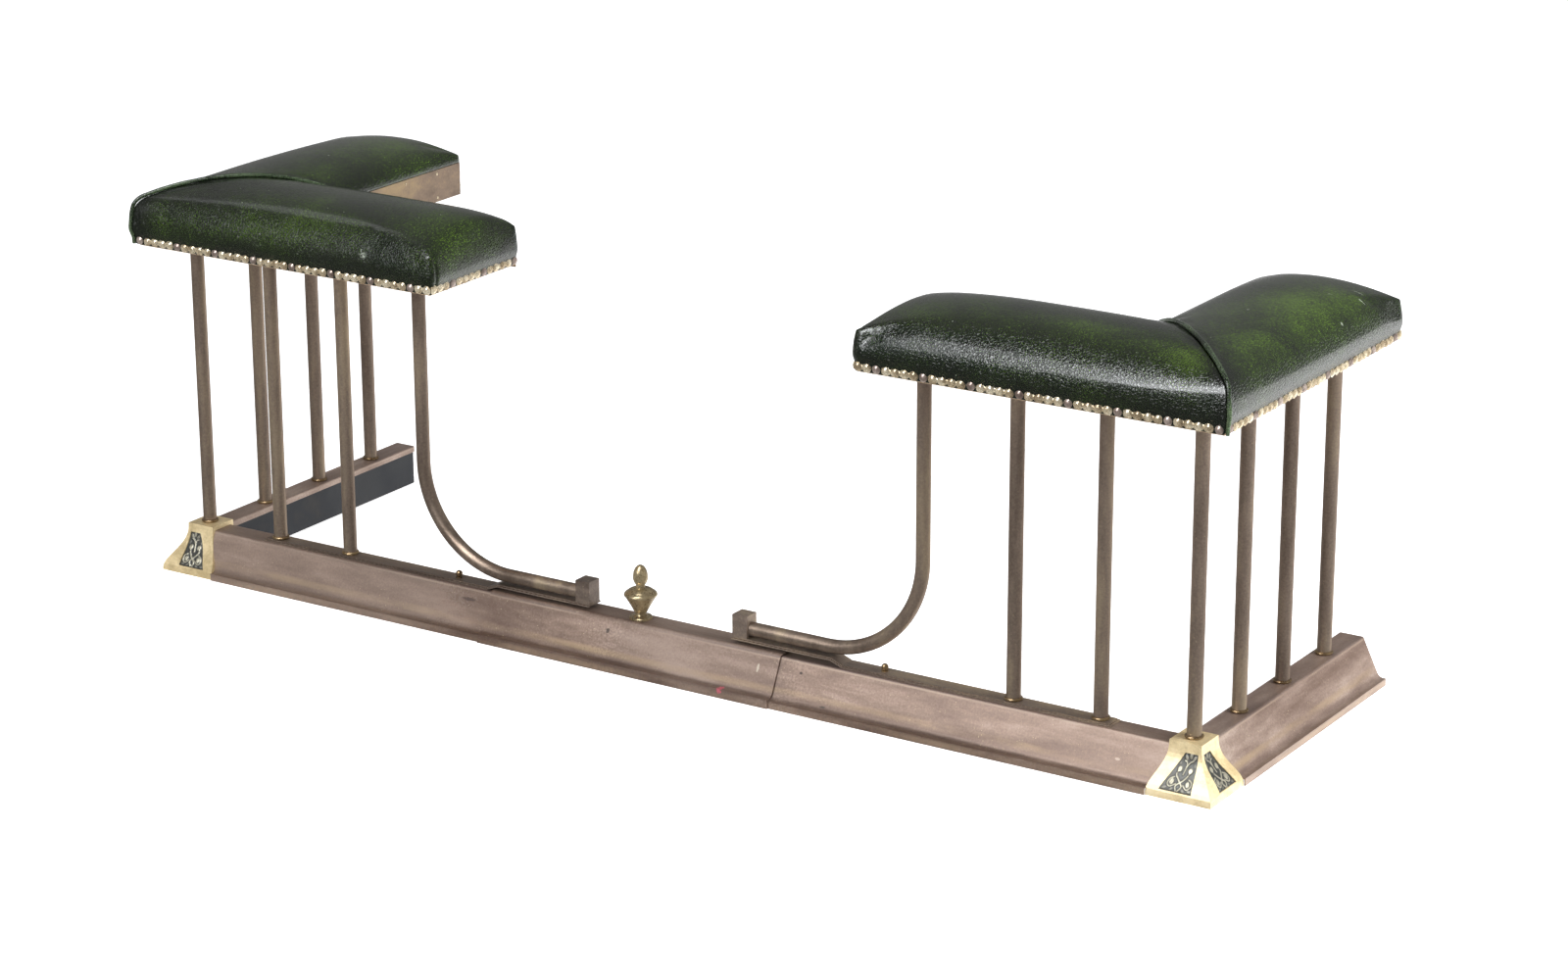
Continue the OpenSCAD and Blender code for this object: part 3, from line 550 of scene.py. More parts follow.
pad = {
    "along": 72,  # grid steps along an arm
    "across": 36,
    "down": 12,
    "edgeRound": 0.018,  # round of the padded edge
    "archRadius": 0.158,
    "wallLean": 11.0,  # degrees that the wall already leans in where the top begins
    "lean": 0.004,  # the crown stands this much nearer the hearth
    "cornerRound": 0.008,
    "seamDip": 0.0017,  # how far the mitre seam pulls the leather down
    "seamReach": 0.008,
    "underfill": 0.0016,  # the pad starts this much lower and the pressure fills it
    "seamGap": 0.0006,
    "tuck": 0.004,  # the leather steps in behind the fascia by this much
    "pressure": 4.0,
    "stretchStiffness": 20, "shearStiffness": 8, "bendStiffness": 2, "leatherMass": 0.3,
    "frames": 20,
    "cap": 0.0035,  # farthest that the filling may push a point
    # crown height, share of it reached at the free end, length of the climb, fall towards that end
    "crown": {
        "leftfront": (0.4822, 0.42, 0.060, 0.02), "leftreturn": (0.4822, 0.27, 0.260, 0.01),
        "rightfront": (0.4823, 0.17, 0.155, 0.095), "rightreturn": (0.4823, 0.25, 0.130, 0.095),
    },
    "endRound": 0.016,  # round of the top edge at a free end
    "bulge": 0.0034,  # how far the walls stand out at mid height
    "nailLine": 0.006,  # below this height the nails hold the leather flat
    "nailFade": 0.013,  # and over this much more it comes free
    "nailHold": 0.12,  # share of the bulge that is left at the nails
    # bright rubbed patches of the dye: share along and across (below 0 on the wall), reaches, strength
    "patches": {
        "leftfront": [(0.83, -0.10, 0.14, 0.16, 0.34), (0.38, 0.05, 0.20, 0.14, 0.38),
                      (0.05, 0.34, 0.10, 0.34, 0.22), (0.50, 0.30, 0.14, 0.16, 0.22),
                      (0.62, -0.06, 0.14, 0.12, 0.24)],
        "leftreturn": [(0.20, 0.72, 0.20, 0.30, 0.50), (0.55, 0.80, 0.20, 0.20, 0.20)],
        "rightfront": [(0.86, 0.18, 0.12, 0.17, 0.50), (0.55, 0.34, 0.14, 0.12, 0.34),
                       (0.13, 0.22, 0.12, 0.26, 0.42), (0.90, 0.26, 0.10, 0.20, 0.30),
                       (0.62, -0.16, 0.16, 0.08, 0.22)],
        "rightreturn": [(0.38, 0.28, 0.15, 0.24, 0.60), (0.20, 0.22, 0.10, 0.22, 0.34),
                        (0.70, 0.20, 0.14, 0.20, 0.32), (0.52, 0.62, 0.16, 0.22, 0.24)],
    },
    "pleatDepth": 0.0022,
    "pleatReach": 0.010,  # the end pleat reaches this far along the arm and above the wall
    "earPlace": 0.0030, "earWidth": 0.0040, "foldPlace": 0.0087, "foldWidth": 0.0022,
}


def spread(count, bias):
    # Steps from 0 to 1, closer together at both ends.
    return [(1 - bias) * i / count + bias * (0.5 - 0.5 * math.cos(math.pi * i / count))
            for i in range(count + 1)]


def archHeight(s, width, edge, arch, lean, start):
    # Height of the padded arch below its crown, at distance s from the outer edge.
    half = width / 2
    middle = half + lean
    share = s / middle if s < middle else (width - s) / (width - middle)
    cut = edge * (1 - math.cos(math.radians(start)))
    q = cut + (half - cut) * share
    up = math.sqrt((arch - edge) ** 2 - (half - edge) ** 2)
    turn = half - (half - edge) * arch / (arch - edge)
    if q < turn:
        return up - arch + math.sqrt(max(0, edge ** 2 - (edge - q) ** 2))
    return math.sqrt(arch ** 2 - (half - q) ** 2) - arch


def smoothStep(x):
    x = min(1, max(0, x))
    return x * x * (3 - 2 * x)


class Arm:
    # One arm of a seat: t runs from its free end to the mitre, s from its outer edge to the hearth edge.
    def __init__(self, side, kind):
        self.side, self.kind = side, kind
        self.sign = sides[side]
        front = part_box(f"{side}_front_pad")
        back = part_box(f"{side}_return_pad")
        self.bottom = front[0].z
        self.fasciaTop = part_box(f"{side}_front_fascia")[1].z
        self.outerX = max(abs(back[0].x), abs(back[1].x))
        self.hearthY = front[1].y
        self.width = self.hearthY - front[0].y
        self.outerY = front[0].y
        self.freeX = min(abs(front[0].x), abs(front[1].x))
        self.backY = back[1].y
        self.length = self.outerX - self.freeX if kind == "front" else self.backY - self.outerY

    def world(self, t, s, z):
        if self.kind == "front":
            return Vector((self.sign * (self.freeX + t), self.outerY + s, z))
        return Vector((self.sign * (self.outerX - s), self.backY - t, z))

    def surface(self, t, s, p, shrink=0.0, dip=True):
        # Height of the leather's top above the floor.
        crown, share, reach, fall = p["crown"][self.side + self.kind]
        up, edge = (archHeight(x, self.width, p["edgeRound"], p["archRadius"], p["lean"], p["wallLean"])
                    for x in (s, 0))
        climb = min(1, max(0, t / reach))
        grown = share + (1 - share) * math.sqrt(1 - (1 - climb) ** 2)
        grown *= 1 - fall * (1 - min(1, max(0, t / self.length)))
        grown *= math.sqrt(1 - (1 - min(1, max(0, t / p["endRound"]))) ** 2)
        z = crown - shrink + edge + (up - edge) * grown
        if dip:
            z -= p["seamDip"] * self.seam(t, s, p)
        return z

    def stand(self, z, top, p):
        # How far a wall stands out at height z.
        share = min(1, max(0, (z - self.bottom) / (top - self.bottom)))
        free = smoothStep((z - self.bottom - p["nailLine"]) / p["nailFade"])
        return p["bulge"] * math.sin(math.pi * share ** 0.75) * (p["nailHold"] + (1 - p["nailHold"]) * free)

    def seam(self, t, s, p):
        toSeam = max(0, self.length - s - t) / math.sqrt(2)
        return math.exp(-(toSeam / p["seamReach"]) ** 2)


def roundCorner(t, s, r):
    # Pulls a point near a square plan corner on to a round one.
    a, b = (r - t) / r, (r - s) / r
    if a <= 0 or b <= 0:
        return t, s
    return r - r * a * math.sqrt(1 - b * b / 2), r - r * b * math.sqrt(1 - a * a / 2)


def antiqueTone(arm, t, s, drop, p):
    # How light the leather's colour is: brighter in rubbed patches, darker towards the bottom of the walls and
    # near the seams.
    low = smoothStep(drop / 0.045)
    tone = 0.29 + 0.08 * math.sin(math.pi * s / arm.width) - 0.14 * low
    across = (s - drop if s < arm.width / 2 else s + drop) / arm.width
    for u, v, du, dv, strength in p["patches"][arm.side + arm.kind]:
        far = ((t / arm.length - u) / du) ** 2 + ((across - v) / dv) ** 2
        tone += 0.6 * strength * math.exp(-far) * (1 - 0.5 * low)
    return tone - 0.22 * arm.seam(t, s, p) ** 0.5


def padShape(arm, p):
    us, vs = spread(p["along"], 0.35), spread(p["across"], 0.6)
    rows, cols, down = len(us), len(vs), p["down"]
    verts, index, pins, tones = [], {}, [], []

    def put(key, co, pin, tone):
        if key not in index:
            index[key] = len(verts)
            verts.append(co)
            pins.append(pin)
            tones.append(tone)
        return index[key]

    def planPoint(i, j):
        s = vs[j] * arm.width
        t = us[i] * (arm.length - s - p["seamGap"])
        t, s = roundCorner(t, s, p["cornerRound"])
        t, back = roundCorner(t, arm.width - s, p["cornerRound"])
        return t, arm.width - back

    def point(i, j, k):
        t, s = planPoint(i, j)
        top = arm.surface(t, s, p, p["underfill"] * (1 - arm.seam(t, s, p)))
        if k == 0:
            pin = 1.0 if i == rows - 1 else 0.0
            return put((i, j, k), arm.world(t, s, top), pin, antiqueTone(arm, t, s, 0, p))
        z = top + (arm.bottom - top) * k / down
        pin = smoothStep((k / down - 0.45) / 0.4)
        tone = antiqueTone(arm, t, s, top - z, p)
        stand = arm.stand(z, top, p)
        if j == 0:
            s -= stand
            t += stand * us[i]
        if i == 0:
            t -= stand
        if j == cols - 1:
            lip = arm.fasciaTop + 0.0004
            z = top + (lip - top) * k / 3 if k <= 3 else lip + (arm.bottom - lip) * (k - 3) / (down - 3)
            s -= p["tuck"] if k > 3 else 0
            pin = 1.0 if k >= 2 else 0.35
        if i == rows - 1 or k == down:
            pin = 1.0
        return put((i, j, k), arm.world(t, s, z), pin, tone)

    faces = []
    for i in range(rows - 1):
        for j in range(cols - 1):
            for k in (0, down):
                faces.append([point(i, j, k), point(i + 1, j, k), point(i + 1, j + 1, k), point(i, j + 1, k)])
    for k in range(down):
        for i in range(rows - 1):
            for j in (0, cols - 1):
                faces.append([point(i, j, k), point(i + 1, j, k), point(i + 1, j, k + 1), point(i, j, k + 1)])
        for j in range(cols - 1):
            for i in (0, rows - 1):
                faces.append([point(i, j, k), point(i, j + 1, k), point(i, j + 1, k + 1), point(i, j, k + 1)])
    return verts, faces, pins, tones


def inflate(obj, p):
    rest = np.array([v.co for v in obj.data.vertices])
    cloth = obj.modifiers.new("stuffing", "CLOTH")
    settings = cloth.settings
    settings.vertex_group_mass = "pinned"
    settings.use_pressure = True
    settings.uniform_pressure_force = p["pressure"]
    settings.effector_weights.gravity = 0
    settings.tension_stiffness = settings.compression_stiffness = p["stretchStiffness"]
    settings.shear_stiffness = p["shearStiffness"]
    settings.bending_stiffness = p["bendStiffness"]
    settings.mass = p["leatherMass"]
    cloth.point_cache.frame_start = 1
    cloth.point_cache.frame_end = p["frames"]
    for step in range(1, p["frames"] + 1):
        scene.frame_set(step)
    moved = np.array([v.co for v in evaluated(obj).data.vertices])
    obj.modifiers.remove(cloth)
    scene.frame_set(1)
    shift = moved - rest
    size = np.linalg.norm(shift, axis=1, keepdims=True)
    shift *= np.minimum(1, p["cap"] / np.maximum(size, 1e-9))
    return rest + shift, float(size.max())


def foldPleat(obj, arm, p):
    # The spare leather of a free end is folded round its outer corner into one upright pleat.
    wallTop, reach = arm.surface(0, 0, p), p["pleatReach"]
    for v in obj.data.vertices:
        if arm.kind == "front":
            t, s = arm.sign * v.co.x - arm.freeX, v.co.y - arm.outerY
        else:
            t, s = arm.backY - v.co.y, arm.outerX - arm.sign * v.co.x
        if t > 0.012 or v.co.z > wallTop + reach or s > 0.03:
            continue
        fade = smoothStep((wallTop + 0.009 - v.co.z) / reach)
        near = 1 - smoothStep(t / reach)
        ear = math.exp(-((s - p["earPlace"]) / p["earWidth"]) ** 2)
        fold = math.exp(-((s - p["foldPlace"]) / p["foldWidth"]) ** 2)
        move = p["pleatDepth"] * (0.45 * ear - fold) * fade * near
        v.co += arm.world(-move, 0, 0) - arm.world(0, 0, 0)


def makePad(side, kind, p):
    arm = Arm(side, kind)
    name = f"{side}{kind.capitalize()}Leather"
    verts, faces, pins, tones = padShape(arm, p)
    obj = addMesh(name, verts, faces, paint["seatLeather"])
    store(obj, "antique", tones)
    group = obj.vertex_groups.new(name="pinned")
    for i, weight in enumerate(pins):
        group.add([i], weight, "REPLACE")
    places, most = inflate(obj, p)
    obj.data.vertices.foreach_set("co", places.astype(np.float32).ravel())
    print(f"{name} filled, largest free move {most * 1000:.1f} mm")
    obj.vertex_groups.clear()
    smoother = obj.modifiers.new("finish", "SUBSURF")
    smoother.levels = smoother.render_levels = 1
    bake(obj)
    foldPleat(obj, arm, p)
    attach(obj, f"{side}_end")
    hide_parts(f"{side}_{kind}_pad")
    return arm


arms = {(side, kind): makePad(side, kind, pad) for side in sides for kind in ("front", "return")}
print("pads made")


piping = {
    "radius": 0.00245,
    "proud": 0.0004,  # its middle lies this far outside the leather
    "aside": 0.0012,  # and this far towards the return
    "steps": 150,
    "around": 12,
    "lump": 0.00018,
}


def pipingPath(arm, p):
    # From the foot of the outer corner, over the crown, down to the fascia: distance s and height z.
    wall = arm.surface(arm.length, 0, pad, dip=False)
    heights = [arm.bottom + 0.0008 + (wall - arm.bottom) * i / 40 for i in range(40)]
    path = [(-0.8 * arm.stand(z, wall, pad), z) for z in heights]
    for i in range(p["steps"] + 1):
        s = arm.width * (0.5 - 0.5 * math.cos(math.pi * i / p["steps"]))
        path.append((s, arm.surface(arm.length - s, s, pad, dip=False)))
    path.append((arm.width, arm.fasciaTop + 0.001))
    even = [path[0]]
    for a, b in zip(path, path[1:]):
        if math.dist(even[-1], b) > 0.0016:
            even.append(b)
    return even


def makePiping(side, p):
    arm = arms[(side, "return")]
    path = pipingPath(arm, p)
    sign, rng = sides[side], np.random.default_rng(21 if side == "left" else 22)
    along = Vector((-sign, 1, 0)).normalized()
    across = Vector((sign, 1, 0)).normalized()
    verts, tones, faces = [], [], []
    corner = Vector((sign * arm.outerX, arm.outerY, 0))
    wave = rng.normal(size=len(path))
    wave = np.convolve(wave, np.ones(5) / 5, mode="same") * p["lump"] * 2
    n = p["around"]
    for i, (s, z) in enumerate(path):
        before, after = path[max(0, i - 1)], path[min(len(path) - 1, i + 1)]
        ds, dz = (after[0] - before[0]) * math.sqrt(2), after[1] - before[1]
        size = math.hypot(ds, dz)
        normal = along * (-dz / size) + Vector((0, 0, ds / size))
        middle = corner + along * (s * math.sqrt(2)) + Vector((0, 0, z))
        middle += normal * p["proud"] + across * p["aside"]
        r = p["radius"] + wave[i]
        for k in range(n):
            a = 2 * math.pi * k / n
            verts.append(middle + normal * (r * math.sin(a)) + across * (r * math.cos(a)))
            tones.append(0.45 + 0.15 * math.sin(i * 0.21) + 0.12 * rng.random())
    for i in range(len(path) - 1):
        for k in range(n):
            a, b = i * n + k, i * n + (k + 1) % n
            faces.append([a, b, b + n, a + n])
    faces += [list(range(n)), [len(verts) - 1 - k for k in range(n)]]
    obj = addMesh(f"{side}Piping", verts, faces, paint["pipingLeather"])
    store(obj, "antique", tones)
    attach(obj, f"{side}_end")
    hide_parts(f"{side}_seat_piping")


for side in sides:
    makePiping(side, piping)
print("piping made")


trim = {
    "pitch": 0.0112,
    "cornerRoom": 0.0023,  # the rows keep clear of the piping
    "endRoom": 0.003,
    "headWidth": 0.0113,
    "headHeight": 0.0029,
    "nailWidth": 0.0104,
    "nailHeight": 0.0030,
    "linkWidth": 0.0050,
    "linkLength": 0.0016,
    "linkRise": 0.22,  # height of a link as a share of a head's
    "seed": 5,
    "tilt": 5.0,  # degrees that a head may lean
    "every": 5,  # a real nail holds the strip at every fifth head
    # outlines as shares of half the width and of the height, from the middle outwards
    "stripProfile": [(0.0, 1.0), (0.32, 0.94), (0.58, 0.74), (0.75, 0.42), (0.82, 0.16), (0.89, 0.34),
                     (0.97, 0.24), (1.0, 0.0)],
    "nailProfile": [(0.0, 1.0), (0.34, 0.93), (0.62, 0.72), (0.83, 0.42), (0.96, 0.12), (1.0, 0.0)],
}


def headShape(name, profile, around=12):
    # A head of width 2 and height 1, turned from its outline.
    verts, faces = [(0, 0, profile[0][1])], []
    turns = [2 * math.pi * k / around for k in range(around)]
    for r, z in profile[1:]:
        verts += [(r * math.cos(a), r * math.sin(a), z) for a in turns]
    for k in range(around):
        faces.append([0, 1 + k, 1 + (k + 1) % around])
    for i in range(len(profile) - 2):
        for k in range(around):
            a, b = 1 + i * around + k, 1 + i * around + (k + 1) % around
            faces.append([a, a + around, b + around, b])
    faces.append([len(verts) - 1 - k for k in range(around)])
    return addMesh(name, verts, faces, paint["stripHead"])


def linkShape():
    # The waisted web between two heads, 2 long, 2 wide and 1 high.
    half = [(-1.6, -1.7), (-0.6, -1.0), (0.6, -1.0), (1.6, -1.7)]
    outline = half + [(-x, -y) for x, y in half]
    verts = [(x, y, 0) for x, y in outline] + [(x * 0.96, y * 0.9, 1) for x, y in outline]
    n = len(outline)
    faces = [list(range(n))[::-1], list(range(n, 2 * n))]
    faces += [[k, (k + 1) % n, n + (k + 1) % n, n + k] for k in range(n)]
    return addMesh("linkShape", verts, faces, paint["stripHead"])


def trimTree(p):
    tree = bpy.data.node_groups.new("nailTrim", "GeometryNodeTree")
    face = tree.interface
    sockets = {}
    for name, kind, value in (
            ("Places", "Geometry", None), ("Head", "Object", None), ("Nail", "Object", None),
            ("Link", "Object", None), ("Head width", "Float", p["headWidth"]),
            ("Head height", "Float", p["headHeight"]), ("Nail width", "Float", p["nailWidth"]),
            ("Nail height", "Float", p["nailHeight"]), ("Link width", "Float", p["linkWidth"]),
            ("Link length", "Float", p["linkLength"]), ("Tilt", "Float", math.radians(p["tilt"])),
            ("Seed", "Int", 1), ("Strip brass", "Material", None), ("Nail brass", "Material", None)):
        item = face.new_socket(name=name, in_out="INPUT", socket_type="NodeSocket" + kind)
        if value is not None:
            item.default_value = value
        sockets[name] = item.identifier
    face.new_socket(name="Geometry", in_out="OUTPUT", socket_type="NodeSocketGeometry")
    add, join = tree.nodes.new, tree.links.new
    source = add("NodeGroupInput").outputs

    def attribute(name, kind):
        node = add("GeometryNodeInputNamedAttribute")
        node.data_type = kind
        node.inputs["Name"].default_value = name
        return node.outputs["Attribute"]

    turn = add("FunctionNodeAlignRotationToVector")
    turn.axis = "Z"
    join(attribute("aim", "FLOAT_VECTOR"), turn.inputs["Vector"])
    spin = add("FunctionNodeAlignRotationToVector")
    spin.axis, spin.pivot_axis = "X", "Z"
    join(turn.outputs[0], spin.inputs["Rotation"])
    join(attribute("run", "FLOAT_VECTOR"), spin.inputs["Vector"])
    lean = add("FunctionNodeRandomValue")
    lean.data_type = "FLOAT_VECTOR"
    negative = add("ShaderNodeMath")
    negative.operation = "MULTIPLY"
    negative.inputs[1].default_value = -1
    join(source["Tilt"], negative.inputs[0])
    for end, value in (("Min", negative.outputs[0]), ("Max", source["Tilt"])):
        pack = add("ShaderNodeCombineXYZ")
        join(value, pack.inputs["X"])
        join(value, pack.inputs["Y"])
        join(pack.outputs[0], lean.inputs[end])
    join(source["Seed"], lean.inputs["Seed"])
    leaned = add("FunctionNodeRotateRotation")
    leaned.rotation_space = "LOCAL"
    join(spin.outputs[0], leaned.inputs[0])
    join(lean.outputs["Value"], leaned.inputs[1])
    kind = attribute("kind", "INT")
    made = []
    for number, shape, width, length, height, material in (
            (0, "Head", "Head width", "Head width", "Head height", "Strip brass"),
            (1, "Nail", "Nail width", "Nail width", "Nail height", "Nail brass"),
            (2, "Link", "Link width", "Link length", "Head height", "Strip brass")):
        same = add("FunctionNodeCompare")
        same.data_type, same.operation = "INT", "EQUAL"
        join(kind, same.inputs[2])
        same.inputs[3].default_value = number
        size = add("ShaderNodeCombineXYZ")
        rise = 1 if number < 2 else p["linkRise"]
        for target, name, share in (("X", length, 0.5), ("Y", width, 0.5), ("Z", height, rise)):
            scaled = add("ShaderNodeMath")
            scaled.operation = "MULTIPLY"
            join(source[name], scaled.inputs[0])
            scaled.inputs[1].default_value = share
            join(scaled.outputs[0], size.inputs[target])
        info = add("GeometryNodeObjectInfo")
        join(source[shape], info.inputs["Object"])
        put = add("GeometryNodeInstanceOnPoints")
        join(source["Places"], put.inputs["Points"])
        join(same.outputs[0], put.inputs["Selection"])
        join(info.outputs["Geometry"], put.inputs["Instance"])
        join(leaned.outputs[0] if number < 2 else spin.outputs[0], put.inputs["Rotation"])
        join(size.outputs[0], put.inputs["Scale"])
        real = add("GeometryNodeRealizeInstances")
        join(put.outputs[0], real.inputs[0])
        coat = add("GeometryNodeSetMaterial")
        join(real.outputs[0], coat.inputs["Geometry"])
        join(source[material], coat.inputs["Material"])
        made.append(coat.outputs[0])
    together = add("GeometryNodeJoinGeometry")
    for part in made:
        join(part, together.inputs[0])
    join(together.outputs[0], add("NodeGroupOutput").inputs[0])
    return tree, sockets


def trimPlaces(side, p):
    # Centre, outward direction, run direction and kind of every head and link on one seat.
    arm = arms[(side, "front")]
    back = arms[(side, "return")]
    z = arm.bottom + p["pitch"] / 2
    found = []

    def row(start, run, aim, length, first):
        count = int(length / p["pitch"])
        step = length / count
        for i in range(count):
            real = (i + first) % p["every"] == 0
            found.append((start + run * (step * (i + 0.5)), aim, run, 1 if real else 0))
            if i < count - 1 and not real and (i + 1 + first) % p["every"] != 0:
                found.append((start + run * (step * (i + 1)), aim, run, 2))

    x, y = Vector((arm.sign, 0, 0)), Vector((0, 1, 0))
    row(arm.world(arm.length - p["cornerRoom"], 0, z), -x, -y, arm.length - p["cornerRoom"], 0)
    row(arm.world(arm.length, p["cornerRoom"], z), y, x, back.length - p["cornerRoom"], 0)
    row(arm.world(0, 0, z), y, -x, arm.width - p["endRoom"], 2)
    row(back.world(0, 0, z), -x, y, arm.width - p["endRoom"], 1)
    return found


def makeTrim(side, p, tree, sockets, shapes):
    found = trimPlaces(side, p)
    mesh = bpy.data.meshes.new("places")
    mesh.from_pydata([tuple(f[0]) for f in found], [], [])
    for name, column in (("aim", 1), ("run", 2)):
        values = [c for f in found for c in f[column]]
        mesh.attributes.new(name, "FLOAT_VECTOR", "POINT").data.foreach_set("vector", values)
    mesh.attributes.new("kind", "INT", "POINT").data.foreach_set("value", [f[3] for f in found])
    obj = put(f"{side}NailTrim", mesh)
    nodesMod = obj.modifiers.new("trim", "NODES")
    nodesMod.node_group = tree
    values = {**shapes, "Seed": p["seed"] + sides[side], "Strip brass": paint["stripHead"],
              "Nail brass": paint["realNail"]}
    for name, value in values.items():
        nodesMod[sockets[name]] = value
    bake(obj)
    obj.data.shade_smooth()
    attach(obj, f"{side}_end")
    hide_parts(f"{side}_nail_heads")


def makeTrims(p):
    tree, sockets = trimTree(p)
    shapes = {"Head": headShape("stripHeadShape", p["stripProfile"]),
              "Nail": headShape("nailShape", p["nailProfile"]), "Link": linkShape()}
    for side in sides:
        makeTrim(side, p, tree, sockets, shapes)
    for shape in shapes.values():
        bpy.data.objects.remove(shape)


makeTrims(trim)
print("nail trim made")


relief = {
    "foot": 0.042, "top": 0.0185, "bend": 1.4, "footHeight": 0.003,  # reach of the block's outer faces
    "recess": 0.0014,
    "high": 0.0013, "proud": 0.0001, "sunk": 0.0004,
    # corners of a panel: distance from the post towards the block's own corner, height
    "panel": [(-0.020, 0.009), (0.018, 0.009), (0.015, 0.0465), (0.0, 0.0465)],
    "across": 64,
    "up": 72,
    # stems: points in shares across and up, thickness
    "stems": [
        ([(0.50, 0.04), (0.44, 0.16), (0.60, 0.30), (0.72, 0.44), (0.74, 0.56)], 0.0011),
        ([(0.56, 0.04), (0.62, 0.16), (0.44, 0.30), (0.26, 0.42), (0.24, 0.54)], 0.0011),
        ([(0.40, 0.20), (0.26, 0.12), (0.14, 0.18), (0.13, 0.30), (0.24, 0.36)], 0.0009),
        ([(0.66, 0.20), (0.80, 0.11), (0.92, 0.18), (0.92, 0.30), (0.80, 0.35)], 0.0009),
        ([(0.50, 0.44), (0.50, 0.60), (0.44, 0.74), (0.28, 0.78)], 0.0009),
        ([(0.50, 0.60), (0.58, 0.74), (0.74, 0.80)], 0.0009),
    ],
    # rounded leaves and berries: share across and up, half length, half width, turn in degrees, height
    "leaves": [
        (0.24, 0.24, 0.0034, 0.0026, 60, 1.0), (0.80, 0.23, 0.0034, 0.0026, 120, 0.9),
        (0.52, 0.93, 0.0042, 0.0020, 90, 0.8), (0.30, 0.86, 0.0034, 0.0017, 130, 0.7),
        (0.78, 0.87, 0.0034, 0.0017, 50, 0.7), (0.12, 0.07, 0.0030, 0.0014, 10, 0.5),
        (0.90, 0.07, 0.0030, 0.0014, 170, 0.5), (0.34, 0.06, 0.0026, 0.0013, 30, 0.5),
        (0.70, 0.06, 0.0026, 0.0013, 150, 0.5), (0.14, 0.68, 0.0022, 0.0012, 70, 0.45),
        (0.88, 0.68, 0.0022, 0.0012, 110, 0.45),
    ],
    "berries": [(0.26, 0.56, 0.0031), (0.74, 0.55, 0.0031)],
}


def blockReach(z, p, height):
    share = min(1, max(0, 1 - (z - p["footHeight"]) / (height - p["footHeight"])))
    return p["top"] + (p["foot"] - p["top"]) * smoothStep(share ** p["bend"])


def panelPoint(u, v, p):
    (ax, az), (bx, bz), (cx, cz), (dx, dz) = p["panel"]
    left = np.array([ax, az]) * (1 - v) + np.array([dx, dz]) * v
    right = np.array([bx, bz]) * (1 - v) + np.array([cx, cz]) * v
    return left * (1 - u) + right * u


def curve(points, p, steps=14):
    # A smooth line through the points.
    pts = [panelPoint(u, v, p) for u, v in points]
    pts = [2 * pts[0] - pts[1]] + pts + [2 * pts[-1] - pts[-2]]
    line = []
    for a, b, c, d in zip(pts, pts[1:], pts[2:], pts[3:]):
        for i in range(steps):
            t = i / steps
            line.append(0.5 * (2 * b + (c - a) * t + (2 * a - 5 * b + 4 * c - d) * t * t
                               + (3 * b - a - 3 * c + d) * t ** 3))
    return np.array(line + [pts[-2]])


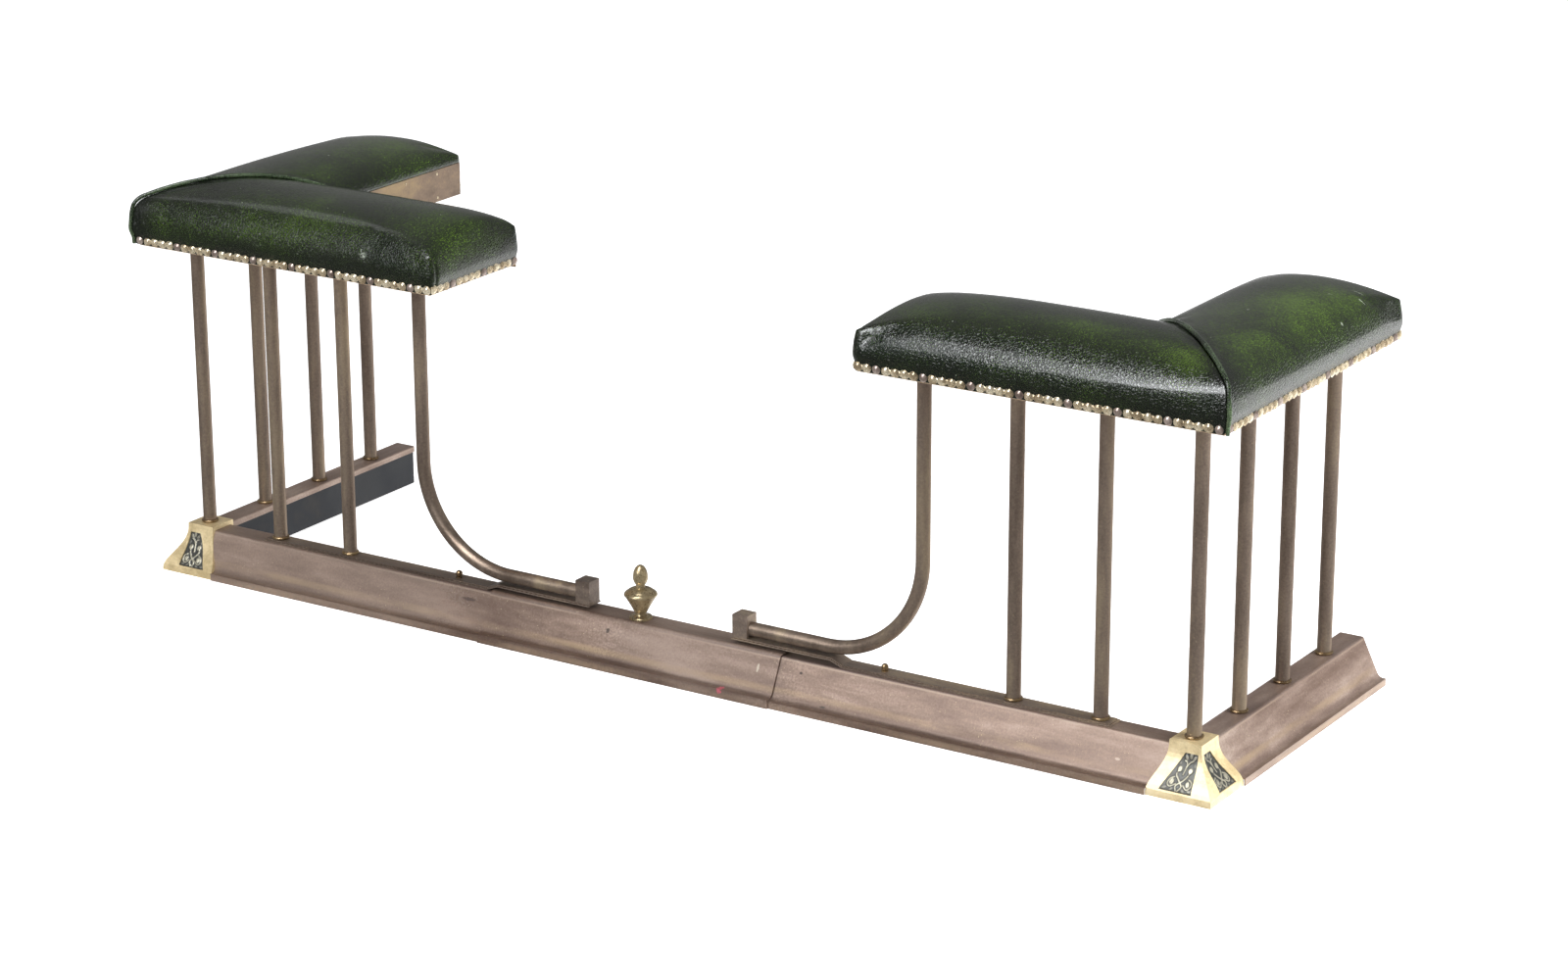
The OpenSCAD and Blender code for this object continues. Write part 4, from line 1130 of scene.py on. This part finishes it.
def reliefHeights(p):
    # Height of the ornament, 0 to 1, on the panel's grid.
    us, vs = np.linspace(0, 1, p["across"]), np.linspace(0, 1, p["up"])
    grid = np.array([[panelPoint(u, v, p) for u in us] for v in vs])
    rng = np.random.default_rng(7)
    high = 0.10 * rng.random(grid.shape[:2])
    for points, thick in p["stems"]:
        line = curve(points, p)
        far = np.min(np.linalg.norm(grid[:, :, None] - line[None, None], axis=3), axis=2)
        high = np.maximum(high, 0.85 * np.sqrt(np.clip(1 - (far / thick) ** 2, 0, 1)))
    for u, v, long, wide, turn, up in p["leaves"]:
        off = grid - panelPoint(u, v, p)
        c, s = math.cos(math.radians(turn)), math.sin(math.radians(turn))
        a, b = off[..., 0] * c + off[..., 1] * s, off[..., 1] * c - off[..., 0] * s
        inside = np.clip(1 - (a / long) ** 2 - (b / wide) ** 2, 0, 1)
        vein = 1 - 0.35 * np.exp(-(b / 0.0005) ** 2)
        high = np.maximum(high, up * inside ** 0.35 * vein * (inside > 0))
    for u, v, r in p["berries"]:
        far = np.linalg.norm(grid - panelPoint(u, v, p), axis=2)
        ball = np.sqrt(np.clip(1 - (far / r) ** 2, 0, 1))
        high = np.maximum(high, ball * (1 - 0.45 * np.exp(-(far / 0.0008) ** 2)))
        ring = np.exp(-((far - r * 1.22) / 0.0004) ** 2)
        high = np.maximum(high * (1 - 0.7 * ring), 0)
    return grid, high


def makeRelief(side, facing, p, grid, high):
    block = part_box(f"{side}_corner_block")
    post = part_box(f"{side}_corner_post")
    middle = (post[0] + post[1]) / 2
    height = block[1].z
    sign = sides[side]
    verts, faces, tones = [], [], []
    rows, cols = high.shape
    for layer in (0, 1):
        for r in range(rows):
            for c in range(cols):
                a, z = grid[r, c]
                edge = r in (0, rows - 1) or c in (0, cols - 1)
                lift = p["proud"] + (0.0 if edge else p["high"] * high[r, c])
                reach = blockReach(z, p, height) - p["recess"] + (-p["sunk"] if layer else lift)
                if facing == "Front":
                    verts.append((middle.x + sign * a, middle.y - reach, z))
                else:
                    verts.append((middle.x + sign * reach, middle.y - a, z))
                tones.append(float(high[r, c]) if layer == 0 else 0.0)
    size = rows * cols

    def at(layer, r, c):
        return layer * size + r * cols + c

    for layer in (0, 1):
        for r in range(rows - 1):
            for c in range(cols - 1):
                faces.append([at(layer, r, c), at(layer, r, c + 1),
                              at(layer, r + 1, c + 1), at(layer, r + 1, c)])
    for r in range(rows - 1):
        for c in (0, cols - 1):
            faces.append([at(0, r, c), at(0, r + 1, c), at(1, r + 1, c), at(1, r, c)])
    for c in range(cols - 1):
        for r in (0, rows - 1):
            faces.append([at(0, r, c), at(0, r, c + 1), at(1, r, c + 1), at(1, r, c)])
    obj = addMesh(f"{side}{facing}Ornament", verts, faces, paint["pewter"])
    store(obj, "relief", tones)
    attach(obj, f"{side}_end")


ornamentGrid, ornamentHeights = reliefHeights(relief)
for side in sides:
    for facing in ("Front", "Side"):
        makeRelief(side, facing, relief, ornamentGrid, ornamentHeights)
print("ornament made")
